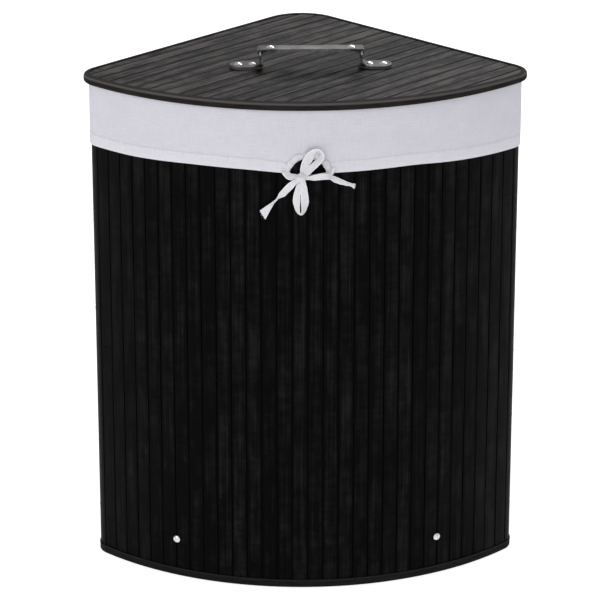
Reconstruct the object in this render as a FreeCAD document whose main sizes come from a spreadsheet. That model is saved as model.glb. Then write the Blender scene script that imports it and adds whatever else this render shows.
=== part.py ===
"""Corner laundry hamper with a lift-off lid.

The plan is a rounded quarter disc: two straight walls meet at a right angle at the back (+Y) and
a curved front faces -Y. The origin is on the floor under the middle of the plan. Millimetres.
"""

import FreeCAD, Part
import Sketcher
import math
import os

Vector = FreeCAD.Vector
Rotation = FreeCAD.Rotation
Placement = FreeCAD.Placement

doc = FreeCAD.newDocument("corner_hamper")

# ---------------------------------------------------------------- driving sizes

SIZES = {
    # plan of the slats' outer face
    "front_radius": 340.0,
    "front_centre_y": 162.4,
    "apex_y": 196.4,
    "front_corner_radius": 24.0,
    "back_corner_radius": 45.0,
    # slatted wall
    "slat_thick": 2.0,
    "slat_gap": 0.6,
    "slat_low": 0.8,
    "slat_high": 588.4,
    "front_slat_count": 30,
    "wall_slat_count": 17,
    "front_corner_slat_count": 2,
    "back_corner_slat_count": 4,
    "backing_thick": 0.8,
    # ribbons and hoop
    "ribbon_thick": 0.7,
    "ribbon_play": 0.2,
    "fold_play": 0.1,
    "bottom_ribbon_wide": 10.0,
    "top_ribbon_wide": 14.0,
    "hoop_thick": 2.0,
    "hoop_wide": 12.0,
    # base
    "base_low": 42.0,
    "base_thick": 9.0,
    "base_play": 0.2,
    "screw_head_radius": 4.35,
    "screw_head_rise": 2.0,
    "screw_shank_radius": 1.7,
    "screw_length": 18.0,
    "screw_hole_radius": 1.8,
    "screw_recess_radius": 1.1,
    "screw_recess_deep": 1.0,
    "front_screw_x": 154.3,
    "wall_screw_step": 80.0,
    # liner
    "cloth_thick": 0.5,
    "bag_play": 0.3,
    "cuff_play": 0.1,
    "cuff_low": 517.0,
    "rim_high": 590.3,
    "keyhole_radius": 21.0,
    "keyhole_z": 512.0,
    "keyhole_deep": 8.0,
    "keyhole_ahead": 7.0,
    "casing_wide": 14.0,
    "casing_open_left": 27.0,
    "casing_open_right": 29.0,
    "tape_reach": 2.0,
    "tape_wide": 8.0,
    "tape_thick": 0.6,
    "string_radius": 1.8,
    "knot_x": -7.3,
    "knot_standoff": 7.2,
    "knot_z": 512.7,
    "knot_half_wide": 5.2,
    "knot_half_deep": 4.4,
    "knot_half_tall": 6.0,
    # lid
    "lid_low": 590.4,
    "lid_high": 600.0,
    "lid_overhang": 7.5,
    "lid_ribbon_wide": 9.0,
    "lid_slat_thick": 2.2,
    "lid_slat_pitch": 18.0,
    "lining_thick": 0.6,
    # handle
    "handle_x": 6.5,
    "handle_y": -41.4,
    "ring_x": 58.4,
    "ring_low_z": 603.0,
    "ring_high_z": 619.4,
    "ring_half_wide": 12.2,
    "ring_bend": 3.0,
    "ring_wire_radius": 1.4,
    "eye_play": 0.15,
    "leather_thick": 1.8,
    "leather_wide": 18.0,
    "tab_wide": 26.0,
    "tab_round_x": 80.8,
    "tab_wide_x": 68.4,
    "tab_narrow_x": 62.4,
    "tab_layers": 3.6,
    "tab_play": 0.05,
    "tab_rivet_inner_x": 67.5,
    "tab_rivet_outer_x": 83.8,
    "strap_thick": 3.7,
    "strap_waist": 1.0,
    "strap_rivet_x": 46.6,
    "rivet_head_radius": 4.75,
    "rivet_head_rise": 2.0,
    "rivet_shank_radius": 2.0,
    "rivet_hole_radius": 2.1,
    "washer_radius": 5.0,
    "washer_thick": 0.8,
    "burr_radius": 4.0,
}

# How far a cutting tool runs past what it cuts, and how deep and tall the larger ones are.
PAST = 1.0
GAP_TOOL_DEEP = 30.0
RIVET_TOOL_LONG = 40.0

sheet = doc.addObject("Spreadsheet::Sheet", "Sizes")
for row, (alias, value) in enumerate(SIZES.items(), start=1):
    sheet.set(f"A{row}", alias)
    sheet.set(f"B{row}", str(value))
    sheet.setAlias(f"B{row}", alias)
doc.recompute()


def size(alias):
    """The value of one cell of the sheet."""
    return float(sheet.get(alias))


def bind(thing, **expressions):
    """Bind properties of an object to expressions; a bare word is the alias of a cell."""
    for name, expression in expressions.items():
        thing.setExpression(name, with_sheet(expression))
    return thing


def with_sheet(expression):
    """Put the sheet's name before each alias in an expression."""
    out = ""
    word = ""
    for letter in expression + " ":
        if letter.isalnum() or letter == "_":
            word += letter
            continue
        out += ("Sizes." + word) if word in SIZES else word
        out += letter
        word = ""
    return out.strip()


# ---------------------------------------------------------------- building blocks

RIGHT_ANGLE_HALF = 45.0
ROOT_TWO = math.sqrt(2.0)

# How far each layer of the wall stands out from the slats' outer face (inwards is negative).
SLAT_INSIDE = "-slat_thick"
BACKING_INSIDE = "-slat_thick - backing_thick"
HOOP_INSIDE = "-slat_thick - backing_thick - hoop_thick"
RIBBON_OUTSIDE = "ribbon_play + ribbon_thick"
TOP_RIBBON_INSIDE = HOOP_INSIDE + " - ribbon_play - ribbon_thick"
BAG_OUTSIDE = TOP_RIBBON_INSIDE + " - bag_play"
BAG_INSIDE = BAG_OUTSIDE + " - cloth_thick"
CUFF_INSIDE = RIBBON_OUTSIDE + " + cuff_play"
CUFF_OUTSIDE = CUFF_INSIDE + " + cloth_thick"
TAPE_INSIDE = CUFF_OUTSIDE + " + cuff_play"
TAPE_OUTSIDE = TAPE_INSIDE + " + tape_thick"
CASING_INSIDE = TAPE_OUTSIDE + " + cuff_play"
CASING_OUTSIDE = CASING_INSIDE + " + cloth_thick"


def plan_sketch(body, offset):
    """Two straight walls and the curved front, all moved outwards by offset, with sharp corners."""
    sketch = body.newObject("Sketcher::SketchObject", body.Name + "_plan")
    ground = [f for f in body.Origin.OriginFeatures if f.Role == "XY_Plane"][0]
    sketch.AttachmentSupport = [(ground, "")]
    sketch.MapMode = "FlatFace"
    moved = value_of(offset)
    centre = Vector(0, size("front_centre_y"), 0)
    apex = Vector(0, size("apex_y") + moved * ROOT_TWO, 0)
    radius = size("front_radius") + moved
    corner = wall_meets_front(apex.y - centre.y, radius)
    right = centre + Vector(corner[0], corner[1], 0)
    left = centre + Vector(-corner[0], corner[1], 0)
    circle = Part.Circle(centre, Vector(0, 0, 1), radius)
    start = math.atan2(left.y - centre.y, left.x - centre.x)
    end = math.atan2(right.y - centre.y, right.x - centre.x)
    sketch.addGeometry(Part.LineSegment(right, apex), False)
    sketch.addGeometry(Part.LineSegment(apex, left), False)
    sketch.addGeometry(Part.ArcOfCircle(circle, start, end), False)
    limit = Sketcher.Constraint
    sketch.addConstraint([
        limit("Coincident", 0, 2, 1, 1),
        limit("Coincident", 1, 2, 2, 1),
        limit("Coincident", 2, 2, 0, 1),
        limit("PointOnObject", 0, 2, -2),
        limit("PointOnObject", 2, 3, -2),
        limit("Angle", 0, math.radians(180 - RIGHT_ANGLE_HALF)),
        limit("Angle", 1, math.radians(RIGHT_ANGLE_HALF - 180)),
    ])
    sketch.addConstraint(limit("DistanceY", -1, 1, 0, 2, apex.y))
    sketch.renameConstraint(7, "apex")
    sketch.addConstraint(limit("DistanceY", -1, 1, 2, 3, centre.y))
    sketch.renameConstraint(8, "centre")
    sketch.addConstraint(limit("Radius", 2, radius))
    sketch.renameConstraint(9, "front")
    sketch.setExpression("Constraints.apex", with_sheet(f"apex_y + ({offset}) * sqrt(2)"))
    sketch.setExpression("Constraints.centre", with_sheet("front_centre_y"))
    sketch.setExpression("Constraints.front", with_sheet(f"front_radius + ({offset})"))
    return sketch


def wall_meets_front(apex_rise, radius):
    """Where a 45 degree wall from (0, apex_rise) meets a circle round the origin: (x, y), x > 0."""
    half = apex_rise / 2
    x = half + math.sqrt(radius * radius / 2 - half * half)
    return x, apex_rise - x


def value_of(expression):
    """The number that a sum of cells and plain numbers stands for."""
    total = 0.0
    sign = 1.0
    for word in expression.replace("-", " - ").replace("+", " + ").split():
        if word in "+-":
            sign = -1.0 if word == "-" else 1.0
        else:
            total += sign * (size(word) if word in SIZES else float(word))
            sign = 1.0
    return total


def vertical_edges(shape, at_back):
    """The names of a plate's upright edges: the one at the back, or the two at the front."""
    names = []
    for number, edge in enumerate(shape.Edges, start=1):
        a, b = (v.Point for v in edge.Vertexes[:2]) if len(edge.Vertexes) == 2 else (None, None)
        if a is None or abs(a.x - b.x) + abs(a.y - b.y) > 0.01:
            continue
        if (abs(a.x) < 1.0) == at_back:
            names.append(f"Edge{number}")
    return names


def plate(name, offset, low, high):
    """A plate with the hamper's plan, moved outwards by offset, between two heights."""
    body = doc.addObject("PartDesign::Body", name)
    sketch = plan_sketch(body, offset)
    pad = body.newObject("PartDesign::Pad", name + "_pad")
    pad.Profile = sketch
    pad.setExpression("Length", with_sheet(f"({high}) - ({low})"))
    body.setExpression("Placement.Base.z", with_sheet(low))
    doc.recompute()
    for at_back, radius in ((True, "back_corner_radius"), (False, "front_corner_radius")):
        base = body.Tip
        fillet = body.newObject("PartDesign::Fillet", f"{name}_{radius}")
        fillet.Base = (base, vertical_edges(base.Shape, at_back))
        fillet.setExpression("Radius", with_sheet(f"{radius} + ({offset})"))
        body.Tip = fillet
        doc.recompute()
    return body


def cut(name, base, tool):
    """base without tool."""
    result = doc.addObject("Part::Cut", name)
    result.Base = base
    result.Tool = tool
    return result


def fuse(name, things):
    """Several objects as one solid."""
    result = doc.addObject("Part::MultiFuse", name)
    result.Shapes = things
    return result


def group(name, things):
    """Several separate solids as one object."""
    result = doc.addObject("Part::Compound", name)
    result.Links = things
    return result


def common(name, things):
    """What several objects share."""
    result = doc.addObject("Part::MultiCommon", name)
    result.Shapes = things
    return result


def band(name, outside, inside, low, high):
    """An upright band of the plan between two offsets and two heights."""
    outer = plate(name + "_outer", outside, low, high)
    inner = plate(name + "_inner", inside, f"{low} - {PAST}", f"{high} + {PAST}")
    return cut(name, outer, inner)


def folded_ribbon(name, outside, inside, low, high, opens_up):
    """A ribbon folded round an edge: a band with a slot from above or from below."""
    ring = band(name + "_ring", outside, inside, low, high)
    slot_low = low + (" + ribbon_thick" if opens_up else f" - {PAST}")
    slot_high = high + (f" + {PAST}" if opens_up else " - ribbon_thick")
    slot = band(name + "_slot", "ribbon_play", inside + " + ribbon_thick", slot_low, slot_high)
    return cut(name, ring, slot)


def cylinder(name, radius, length, place):
    """A cylinder bound to the sheet, at a place."""
    rod = doc.addObject("Part::Cylinder", name)
    bind(rod, Radius=radius, Height=length)
    rod.Placement = place
    return rod


def box(name, length, width, height, place):
    """A box bound to the sheet, at a place."""
    block = doc.addObject("Part::Box", name)
    bind(block, Length=length, Width=width, Height=height)
    block.Placement = place
    return block


def rod_along(direction, start):
    """The placement of a cylinder that starts at a point and runs in a direction."""
    return Placement(start, Rotation(Vector(0, 0, 1), direction))


def fastener(name, head, rise, shank, length, start, direction):
    """A domed head with its shank: start is where the shank leaves the head."""
    head_radius, head_rise = size(head), size(rise)
    ball = (head_radius ** 2 + head_rise ** 2) / (2 * head_rise)
    dome = doc.addObject("Part::Sphere", name + "_head")
    bind(dome, Radius=f"({head} ^ 2 + {rise} ^ 2) / (2 * {rise})")
    dome.Angle1 = math.degrees(math.asin((ball - head_rise) / ball))
    dome.Placement = rod_along(direction * -1, start + direction * (ball - head_rise))
    pin = cylinder(name + "_shank", shank, length, rod_along(direction, start))
    return fuse(name, [dome, pin])


# ---------------------------------------------------------------- slats

FRONT_CENTRE = Vector(0, size("front_centre_y"), 0)


def fillet_centres():
    """The middles of the back corner's and the right front corner's rounding."""
    wall = size("apex_y") / ROOT_TWO
    back = Vector(0, (wall - size("back_corner_radius")) * ROOT_TWO, 0)
    inner = size("front_radius") - size("front_corner_radius")
    rise = wall - size("front_corner_radius") - FRONT_CENTRE.y / ROOT_TWO
    along = math.sqrt(inner ** 2 - rise ** 2)
    front = FRONT_CENTRE + Vector(rise + along, rise - along, 0) * (1 / ROOT_TWO)
    return back, front


BACK_CENTRE, RIGHT_CENTRE = fillet_centres()
LEFT_CENTRE = Vector(-RIGHT_CENTRE.x, RIGHT_CENTRE.y, 0)
SLAT_HEIGHT = "slat_high - slat_low"


def bent_slats(name, centre, radius, first, last, count):
    """Slats side by side round an arc, from one direction to another in degrees."""
    step = (last - first) / size(count)
    half_gap = math.degrees(size("slat_gap") / size(radius)) / 2
    wedges = []
    for number in range(int(size(count))):
        place = Placement(
            centre + Vector(0, 0, size("slat_low")),
            Rotation(Vector(0, 0, 1), first + step * number + half_gap),
        )
        wedge = cylinder(f"{name}_{number + 1}", radius, SLAT_HEIGHT, place)
        wedge.setExpression(
            "Angle", with_sheet(f"{step} - slat_gap / {radius} * {math.degrees(1)}")
        )
        wedges.append(wedge)
    hollow = cylinder(
        name + "_inside",
        f"{radius} - slat_thick",
        "slat_high",
        Placement(centre, Rotation()),
    )
    return cut(name + "_ring", group(name + "_wedges", wedges), hollow)


def straight_slats(name, side):
    """Slats side by side on a straight wall: side is 1 on the right and -1 on the left."""
    outward = Vector(side, 1, 0) * (1 / ROOT_TWO)
    along = Vector(-outward.y, outward.x, 0)
    front = Vector(side * RIGHT_CENTRE.x, RIGHT_CENTRE.y, 0) + outward * size("front_corner_radius")
    back = BACK_CENTRE + outward * size("back_corner_radius")
    start = front if side > 0 else back
    pitch = (back - front).Length / size("wall_slat_count")
    turn = Rotation(Vector(1, 0, 0), along)
    slats = []
    for number in range(int(size("wall_slat_count"))):
        corner = start + along * (pitch * number + size("slat_gap") / 2)
        corner.z = size("slat_low")
        label = f"{name}_{number + 1}"
        place = Placement(corner, turn)
        slats.append(box(label, f"{pitch} - slat_gap", "slat_thick", SLAT_HEIGHT, place))
    return group(name + "_flat", slats)


corner_turn = math.degrees(
    math.atan2(RIGHT_CENTRE.y - FRONT_CENTRE.y, RIGHT_CENTRE.x - FRONT_CENTRE.x)
)
front_raw = bent_slats(
    "front_slat", FRONT_CENTRE, "front_radius", -180 - corner_turn, corner_turn, "front_slat_count"
)
left_wall_raw = straight_slats("left_wall_slat", -1)
right_wall_raw = straight_slats("right_wall_slat", 1)
right_corner = bent_slats(
    "right_corner_slat",
    RIGHT_CENTRE,
    "front_corner_radius",
    corner_turn,
    RIGHT_ANGLE_HALF,
    "front_corner_slat_count",
)
left_corner = bent_slats(
    "left_corner_slat",
    LEFT_CENTRE,
    "front_corner_radius",
    180 - RIGHT_ANGLE_HALF,
    180 - corner_turn,
    "front_corner_slat_count",
)
front_corner_slats = group("front_corner_slats", [right_corner, left_corner])
back_corner_slats = bent_slats(
    "back_corner_slat",
    BACK_CENTRE,
    "back_corner_radius",
    RIGHT_ANGLE_HALF,
    180 - RIGHT_ANGLE_HALF,
    "back_corner_slat_count",
)

# ---------------------------------------------------------------- base board and its screws


def screw_places():
    """Where the base screws enter the wall, and the direction in which each one is driven."""
    height = Vector(0, 0, size("base_low") + size("base_thick") / 2)
    lean = math.asin(size("front_screw_x") / size("front_radius"))
    places = []
    for side in (-1, 1):
        inward = Vector(-side * math.sin(lean), math.cos(lean), 0)
        places.append((FRONT_CENTRE - inward * size("front_radius") + height, inward))
    for side in (-1, 1):
        inward = Vector(-side, -1, 0) * (1 / ROOT_TWO)
        middle = (Vector(side * RIGHT_CENTRE.x, RIGHT_CENTRE.y, 0) + BACK_CENTRE) * 0.5
        radius = (size("front_corner_radius") + size("back_corner_radius")) / 2
        middle = middle - inward * radius
        along = Vector(-side, 1, 0) * (1 / ROOT_TWO)
        for step in (-1, 1):
            spot = middle + along * (step * size("wall_screw_step"))
            wall = size("apex_y") / ROOT_TWO
            reach = wall - abs(spot.x) / ROOT_TWO - spot.y / ROOT_TWO
            places.append((spot - inward * reach + height, inward))
    return places


screws = []
holes = []
for number, (spot, inward) in enumerate(screw_places(), start=1):
    whole = fastener(
        f"screw_{number}",
        "screw_head_radius",
        "screw_head_rise",
        "screw_shank_radius",
        "screw_length",
        spot,
        inward,
    )
    recess = cylinder(
        f"screw_{number}_recess",
        "screw_recess_radius",
        f"screw_recess_deep + {PAST}",
        rod_along(inward, spot - inward * (size("screw_head_rise") + PAST)),
    )
    screws.append(cut(f"screw_{number}_cut", whole, recess))
    hole = cylinder(
        f"screw_{number}_hole",
        "screw_hole_radius",
        f"screw_length + {2 * PAST}",
        rod_along(inward, spot - inward * PAST),
    )
    holes.append(hole)
base_screws = group("base_screws", screws)
screw_holes = group("screw_holes", holes)

front_slats = cut("front_slats", front_raw, screw_holes)
left_wall_slats = cut("left_wall_slats", left_wall_raw, screw_holes)
right_wall_slats = cut("right_wall_slats", right_wall_raw, screw_holes)

backing_whole = band("backing_whole", SLAT_INSIDE, BACKING_INSIDE, "slat_low", "slat_high")
wall_backing = cut("wall_backing", backing_whole, screw_holes)

base_offset = BACKING_INSIDE + " - base_play"
base_whole = plate("base_whole", base_offset, "base_low", "base_low + base_thick")
base_board = cut("base_board", base_whole, screw_holes)

# ---------------------------------------------------------------- ribbons and hoop

bottom_binding = folded_ribbon(
    "bottom_binding",
    RIBBON_OUTSIDE,
    BACKING_INSIDE + " - ribbon_play - ribbon_thick",
    "slat_low - ribbon_thick - fold_play",
    "bottom_ribbon_wide",
    True,
)
top_binding = folded_ribbon(
    "top_binding",
    RIBBON_OUTSIDE,
    TOP_RIBBON_INSIDE,
    "slat_high - top_ribbon_wide",
    "slat_high + fold_play + ribbon_thick",
    False,
)
rim_hoop = band(
    "rim_hoop", BACKING_INSIDE, HOOP_INSIDE, "slat_high - hoop_wide", "slat_high"
)

# ---------------------------------------------------------------- liner, casing and drawstring

cuff_block = plate("cuff_block", CUFF_OUTSIDE, "cuff_low", "rim_high")
cuff_inside = plate("cuff_inside", CUFF_INSIDE, f"cuff_low - {PAST}", "rim_high - cloth_thick")
cuff_cap = cut("cuff_cap", cuff_block, cuff_inside)
bag_floor = "base_low + base_thick + cuff_play"
bag_block = plate("bag_block", BAG_OUTSIDE, bag_floor, "rim_high")
bag_hollow = plate(
    "bag_hollow", BAG_INSIDE, bag_floor + " + cloth_thick", f"rim_high + {PAST}"
)
liner_whole = cut("liner_whole", fuse("liner_solid", [cuff_cap, bag_block]), bag_hollow)

front_y = size("front_centre_y") - size("front_radius")
keyhole = cylinder(
    "keyhole",
    "keyhole_radius",
    "keyhole_deep",
    rod_along(Vector(0, 1, 0), Vector(0, front_y - size("keyhole_ahead"), size("keyhole_z"))),
)
liner_bag = cut("liner_bag", liner_whole, keyhole)

casing_solid = band(
    "casing_solid", CASING_OUTSIDE, CUFF_OUTSIDE, "cuff_low", "cuff_low + casing_wide"
)
casing_channel = band(
    "casing_channel",
    CASING_INSIDE,
    CUFF_OUTSIDE,
    "cuff_low + cloth_thick",
    "cuff_low + casing_wide - cloth_thick",
)
casing_closed = cut("casing_closed", casing_solid, casing_channel)


def front_gap(name, inset):
    """The gap in the casing at the front, narrower by inset at each end."""
    corner = Vector(
        inset - size("casing_open_left"),
        front_y - GAP_TOOL_DEEP / 2,
        size("cuff_low") - PAST,
    )
    wide = f"casing_open_left + casing_open_right - {2 * inset}"
    tall = f"casing_wide + {2 * PAST}"
    return box(name, wide, str(GAP_TOOL_DEEP), tall, Placement(corner, Rotation()))


cuff_casing = cut("cuff_casing", casing_closed, front_gap("casing_gap", 0.0))
tape_low = "cuff_low + casing_wide / 2 - tape_wide / 2"
tape_high = "cuff_low + casing_wide / 2 + tape_wide / 2"
tape_ring = band("tape_ring", TAPE_OUTSIDE, TAPE_INSIDE, tape_low, tape_high)
drawstring_run = cut("drawstring_run", tape_ring, front_gap("tape_gap", size("tape_reach")))

bow_knot = doc.addObject("Part::Ellipsoid", "bow_knot")
bind(bow_knot, Radius1="knot_half_tall", Radius2="knot_half_wide", Radius3="knot_half_deep")


def in_front(x, standoff, z):
    """A point that stands in front of the curved slats by standoff."""
    radius = size("front_radius") + standoff
    return Vector(x, FRONT_CENTRE.y - math.sqrt(radius * radius - x * x), z)


KNOT = in_front(size("knot_x"), size("knot_standoff"), size("knot_z"))
bow_knot.Placement = Placement(KNOT, Rotation())

# Each piece of string as (x, standoff in front of the slats, z); those at the knot end inside it.
STRINGS = {
    "string_left": [
        (-25.4, 4.0, 519.0),
        (-23.6, 4.4, 515.0),
        (-19.6, 5.0, 512.6),
        (-14.0, 6.0, 512.8),
        (-8.6, 7.0, 513.2),
    ],
    "string_right": [
        (27.2, 4.2, 523.0),
        (26.6, 4.4, 519.2),
        (24.4, 4.6, 515.8),
        (18.6, 4.4, 514.4),
        (9.5, 4.4, 513.0),
        (1.5, 5.2, 512.2),
        (-5.5, 6.6, 512.4),
    ],
    "tail_right": [
        (-5.6, 8.6, 512.7),
        (1.8, 9.4, 512.2),
        (10.0, 9.4, 513.4),
        (18.5, 9.2, 514.6),
        (25.4, 7.9, 513.2),
        (32.0, 5.8, 508.4),
        (40.5, 4.4, 504.2),
        (47.0, 3.6, 501.6),
        (52.6, 3.2, 499.4),
    ],
    "tail_left": [
        (-9.2, 9.0, 511.8),
        (-14.2, 8.8, 508.2),
        (-20.0, 6.8, 502.5),
        (-26.4, 5.2, 494.6),
        (-33.0, 4.2, 486.9),
        (-39.6, 3.8, 480.2),
        (-45.6, 3.6, 473.6),
        (-51.2, 3.4, 466.0),
    ],
    "loop_low": [
        (-8.8, 6.4, 510.5),
        (-9.6, 5.8, 504.5),
        (-11.4, 5.4, 496.5),
        (-12.9, 5.0, 488.5),
        (-13.0, 4.3, 480.0),
        (-12.2, 4.0, 473.4),
        (-10.8, 3.9, 468.6),
        (-8.0, 4.1, 466.6),
        (-5.3, 4.6, 468.6),
        (-4.0, 5.1, 473.6),
        (-3.4, 5.6, 480.6),
        (-3.7, 6.1, 489.0),
        (-4.6, 6.9, 497.0),
        (-5.2, 7.6, 504.5),
        (-5.6, 7.8, 510.5),
    ],
    "loop_high": [
        (-6.8, 7.4, 515.0),
        (-5.0, 7.2, 520.5),
        (-3.2, 6.4, 527.4),
        (0.4, 5.6, 534.6),
        (4.6, 5.2, 540.6),
        (8.6, 5.2, 543.6),
        (12.2, 5.4, 543.7),
        (15.2, 5.8, 541.6),
        (16.4, 6.4, 537.8),
        (14.0, 7.0, 533.9),
        (9.0, 7.6, 529.0),
        (3.8, 8.2, 524.0),
        (-0.6, 8.4, 518.8),
        (-4.6, 7.8, 514.2),
    ],
}
RUN_SHARE = 0.45


def rounded_path(points):
    """Straight runs joined by tangent arcs, and the arcs' radii."""
    edges = []
    radii = []
    here = points[0]
    for before, corner, after in zip(points, points[1:], points[2:]):
        back = before - corner
        ahead = after - corner
        setback = RUN_SHARE * min(back.Length, ahead.Length)
        half_turn = (math.pi - back.getAngle(ahead)) / 2
        radii.append(setback / math.tan(half_turn))
        start = corner + back * (setback / back.Length)
        end = corner + ahead * (setback / ahead.Length)
        inward = back * (1 / back.Length) + ahead * (1 / ahead.Length)
        depth = radii[-1] / math.cos(half_turn) - radii[-1]
        middle = corner + inward * (depth / inward.Length)
        edges.append(Part.LineSegment(here, start).toShape())
        edges.append(Part.Arc(start, middle, end).toShape())
        here = end
    edges.append(Part.LineSegment(here, points[-1]).toShape())
    return Part.Wire(edges), radii


def string_tube(name, route):
    """A plain round string along a route."""
    path, radii = rounded_path([in_front(*point) for point in route])
    first = in_front(*route[0])
    direction = in_front(*route[1]) - first
    radius = size("string_radius")
    ring = Part.Wire(Part.Circle(first, direction, radius).toShape())
    sweep = Part.BRepOffsetAPI.MakePipeShell(path)
    sweep.add(ring)
    sweep.build()
    sweep.makeSolid()
    tube = doc.addObject("Part::Feature", name + "_tube")
    tube.Shape = sweep.shape()
    expected = math.pi * radius ** 2 * path.Length
    print(
        f"{name}: {path.Length:.0f} mm, least radius {min(radii):.1f} mm,",
        f"volume {tube.Shape.Volume / expected:.3f} of section times length",
    )
    return cut(name, tube, bow_knot)


strings = {name: string_tube(name, route) for name, route in STRINGS.items()}

# ---------------------------------------------------------------- lid

LID_INSIDE_RIBBON = "lid_overhang - ribbon_thick - ribbon_play"
LID_SLAT_LOW = "lid_high - ribbon_thick - fold_play - lid_slat_thick"
LINING_LOW = "lid_low + ribbon_thick + fold_play"

lid_block = plate("lid_block", "lid_overhang", "lid_low", "lid_high")
lid_window = plate(
    "lid_window",
    "lid_overhang - lid_ribbon_wide",
    f"lid_low - {PAST}",
    f"lid_high + {PAST}",
)
lid_slot = plate(
    "lid_slot", "lid_overhang - ribbon_thick", "lid_low + ribbon_thick", "lid_high - ribbon_thick"
)
lid_binding = cut("lid_binding", lid_block, fuse("lid_binding_room", [lid_window, lid_slot]))

lid_lining_whole = plate(
    "lid_lining_whole", LID_INSIDE_RIBBON, LINING_LOW, LINING_LOW + " + lining_thick"
)
lid_board_whole = plate(
    "lid_board_whole", LID_INSIDE_RIBBON, LINING_LOW + " + lining_thick", LID_SLAT_LOW
)


def lid_slat_boxes():
    """Long boxes parallel to the left back edge, covering the whole lid."""
    along = Vector(1, 1, 0) * (1 / ROOT_TWO)
    across = Vector(1, -1, 0) * (1 / ROOT_TWO)
    edge = size("apex_y") / ROOT_TWO + value_of(LID_INSIDE_RIBBON)
    count = math.ceil((edge + RIGHT_CENTRE.x * ROOT_TWO) / size("lid_slat_pitch"))
    boxes = []
    for number in range(1, count + 1):
        far_side = size("lid_slat_pitch") * number - size("slat_gap") - edge
        corner = across * far_side - along * size("front_radius")
        corner.z = value_of(LID_SLAT_LOW)
        place = Placement(corner, Rotation(Vector(1, 0, 0), along))
        boxes.append(
            box(
                f"lid_slat_{number}",
                "2 * front_radius",
                "lid_slat_pitch - slat_gap",
                "lid_slat_thick",
                place,
            )
        )
    return group("lid_slat_boxes", boxes)


lid_slat_plan = plate(
    "lid_slat_plan", LID_INSIDE_RIBBON, LID_SLAT_LOW, LID_SLAT_LOW + " + lid_slat_thick"
)
lid_slats_whole = common("lid_slats_whole", [lid_slat_boxes(), lid_slat_plan])

# ---------------------------------------------------------------- handle

LID_TOP = value_of(LID_SLAT_LOW) + size("lid_slat_thick")
TAB_LOW = LID_TOP + size("tab_play")
TAB_HIGH = TAB_LOW + size("tab_layers")
HANDLE_X = size("handle_x")
HANDLE_Y = size("handle_y")
EYE_RADIUS = "ring_wire_radius + eye_play + leather_thick"
BORE_RADIUS = "ring_wire_radius + eye_play"


def eye_place(x, z, half):
    """The placement of a rod along Y, centred on the handle's line."""
    return rod_along(Vector(0, 1, 0), Vector(HANDLE_X + x, HANDLE_Y - half, z))


def tab_outline(name, side):
    """The flat of one tab: narrow at the ring and wider at the rivets."""
    body = doc.addObject("PartDesign::Body", name)
    sketch = body.newObject("Sketcher::SketchObject", name + "_outline")
    ground = [f for f in body.Origin.OriginFeatures if f.Role == "XY_Plane"][0]
    sketch.AttachmentSupport = [(ground, "")]
    sketch.MapMode = "FlatFace"
    stations = (
        ("ring_x", "leather_wide / 2"),
        ("tab_narrow_x", "leather_wide / 2"),
        ("tab_wide_x", "tab_wide / 2"),
        ("tab_round_x", "tab_wide / 2"),
    )
    values = [(size(x), size(w.split()[0]) / 2) for x, w in stations]
    corners = [(side * x, w) for x, w in values] + [(side * x, -w) for x, w in values[::-1]]
    formulas = [(x, w) for x, w in stations] + [(x, w) for x, w in stations[::-1]]
    for number, corner in enumerate(corners):
        after = corners[(number + 1) % len(corners)]
        sketch.addGeometry(Part.LineSegment(Vector(*corner, 0), Vector(*after, 0)), False)
    for number in range(len(corners)):
        after = (number + 1) % len(corners)
        sketch.addConstraint(Sketcher.Constraint("Coincident", number, 2, after, 1))
    for number, (corner, formula) in enumerate(zip(corners, formulas)):
        for axis, value, words in zip("XY", corner, formula):
            ends = (-1, 1, number, 1) if value > 0 else (number, 1, -1, 1)
            index = sketch.addConstraint(
                Sketcher.Constraint("Distance" + axis, *ends, abs(value))
            )
            label = f"corner_{number}_{axis}"
            sketch.renameConstraint(index, label)
            sketch.setExpression("Constraints." + label, with_sheet(words))
    pad = body.newObject("PartDesign::Pad", name + "_pad")
    pad.Profile = sketch
    bind(pad, Length="tab_layers")
    body.Placement = Placement(Vector(HANDLE_X, HANDLE_Y, TAB_LOW), Rotation())
    return body


def down_rod(name, radius, length, x, top):
    """An upright rod through the handle's line that ends at a height."""
    place = rod_along(Vector(0, 0, -1), Vector(HANDLE_X + x, HANDLE_Y, top))
    return cylinder(name, radius, length, place)


rivet_holes = []
tab_rivet_parts = []
washer_parts = []
tabs = {}
rivet_length = TAB_HIGH - size("lid_low")
for side, word in ((-1, "left"), (1, "right")):
    for inner_outer in ("inner", "outer"):
        x = side * size(f"tab_rivet_{inner_outer}_x")
        label = f"{word}_{inner_outer}"
        rivet_holes.append(
            down_rod(
                f"rivet_hole_{label}",
                "rivet_hole_radius",
                str(RIVET_TOOL_LONG),
                x,
                TAB_HIGH + RIVET_TOOL_LONG / 4,
            )
        )
        tab_rivet_parts.append(
            fastener(
                f"tab_rivet_{label}",
                "rivet_head_radius",
                "rivet_head_rise",
                "rivet_shank_radius",
                str(rivet_length),
                Vector(HANDLE_X + x, HANDLE_Y, TAB_HIGH),
                Vector(0, 0, -1),
            )
        )
        disc = down_rod(
            f"washer_{label}",
            "washer_radius",
            "washer_thick",
            x,
            size("lid_low") + size("washer_thick"),
        )
        middle = down_rod(
            f"washer_{label}_hole",
            "rivet_hole_radius",
            f"washer_thick + {2 * PAST}",
            x,
            size("lid_low") + size("washer_thick") + PAST,
        )
        washer_parts.append(cut(f"washer_{label}_ring", disc, middle))
rivet_hole_group = group("rivet_hole_group", rivet_holes)
tab_rivets = group("tab_rivets", tab_rivet_parts)
rivet_washers = group("rivet_washers", washer_parts)

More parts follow.
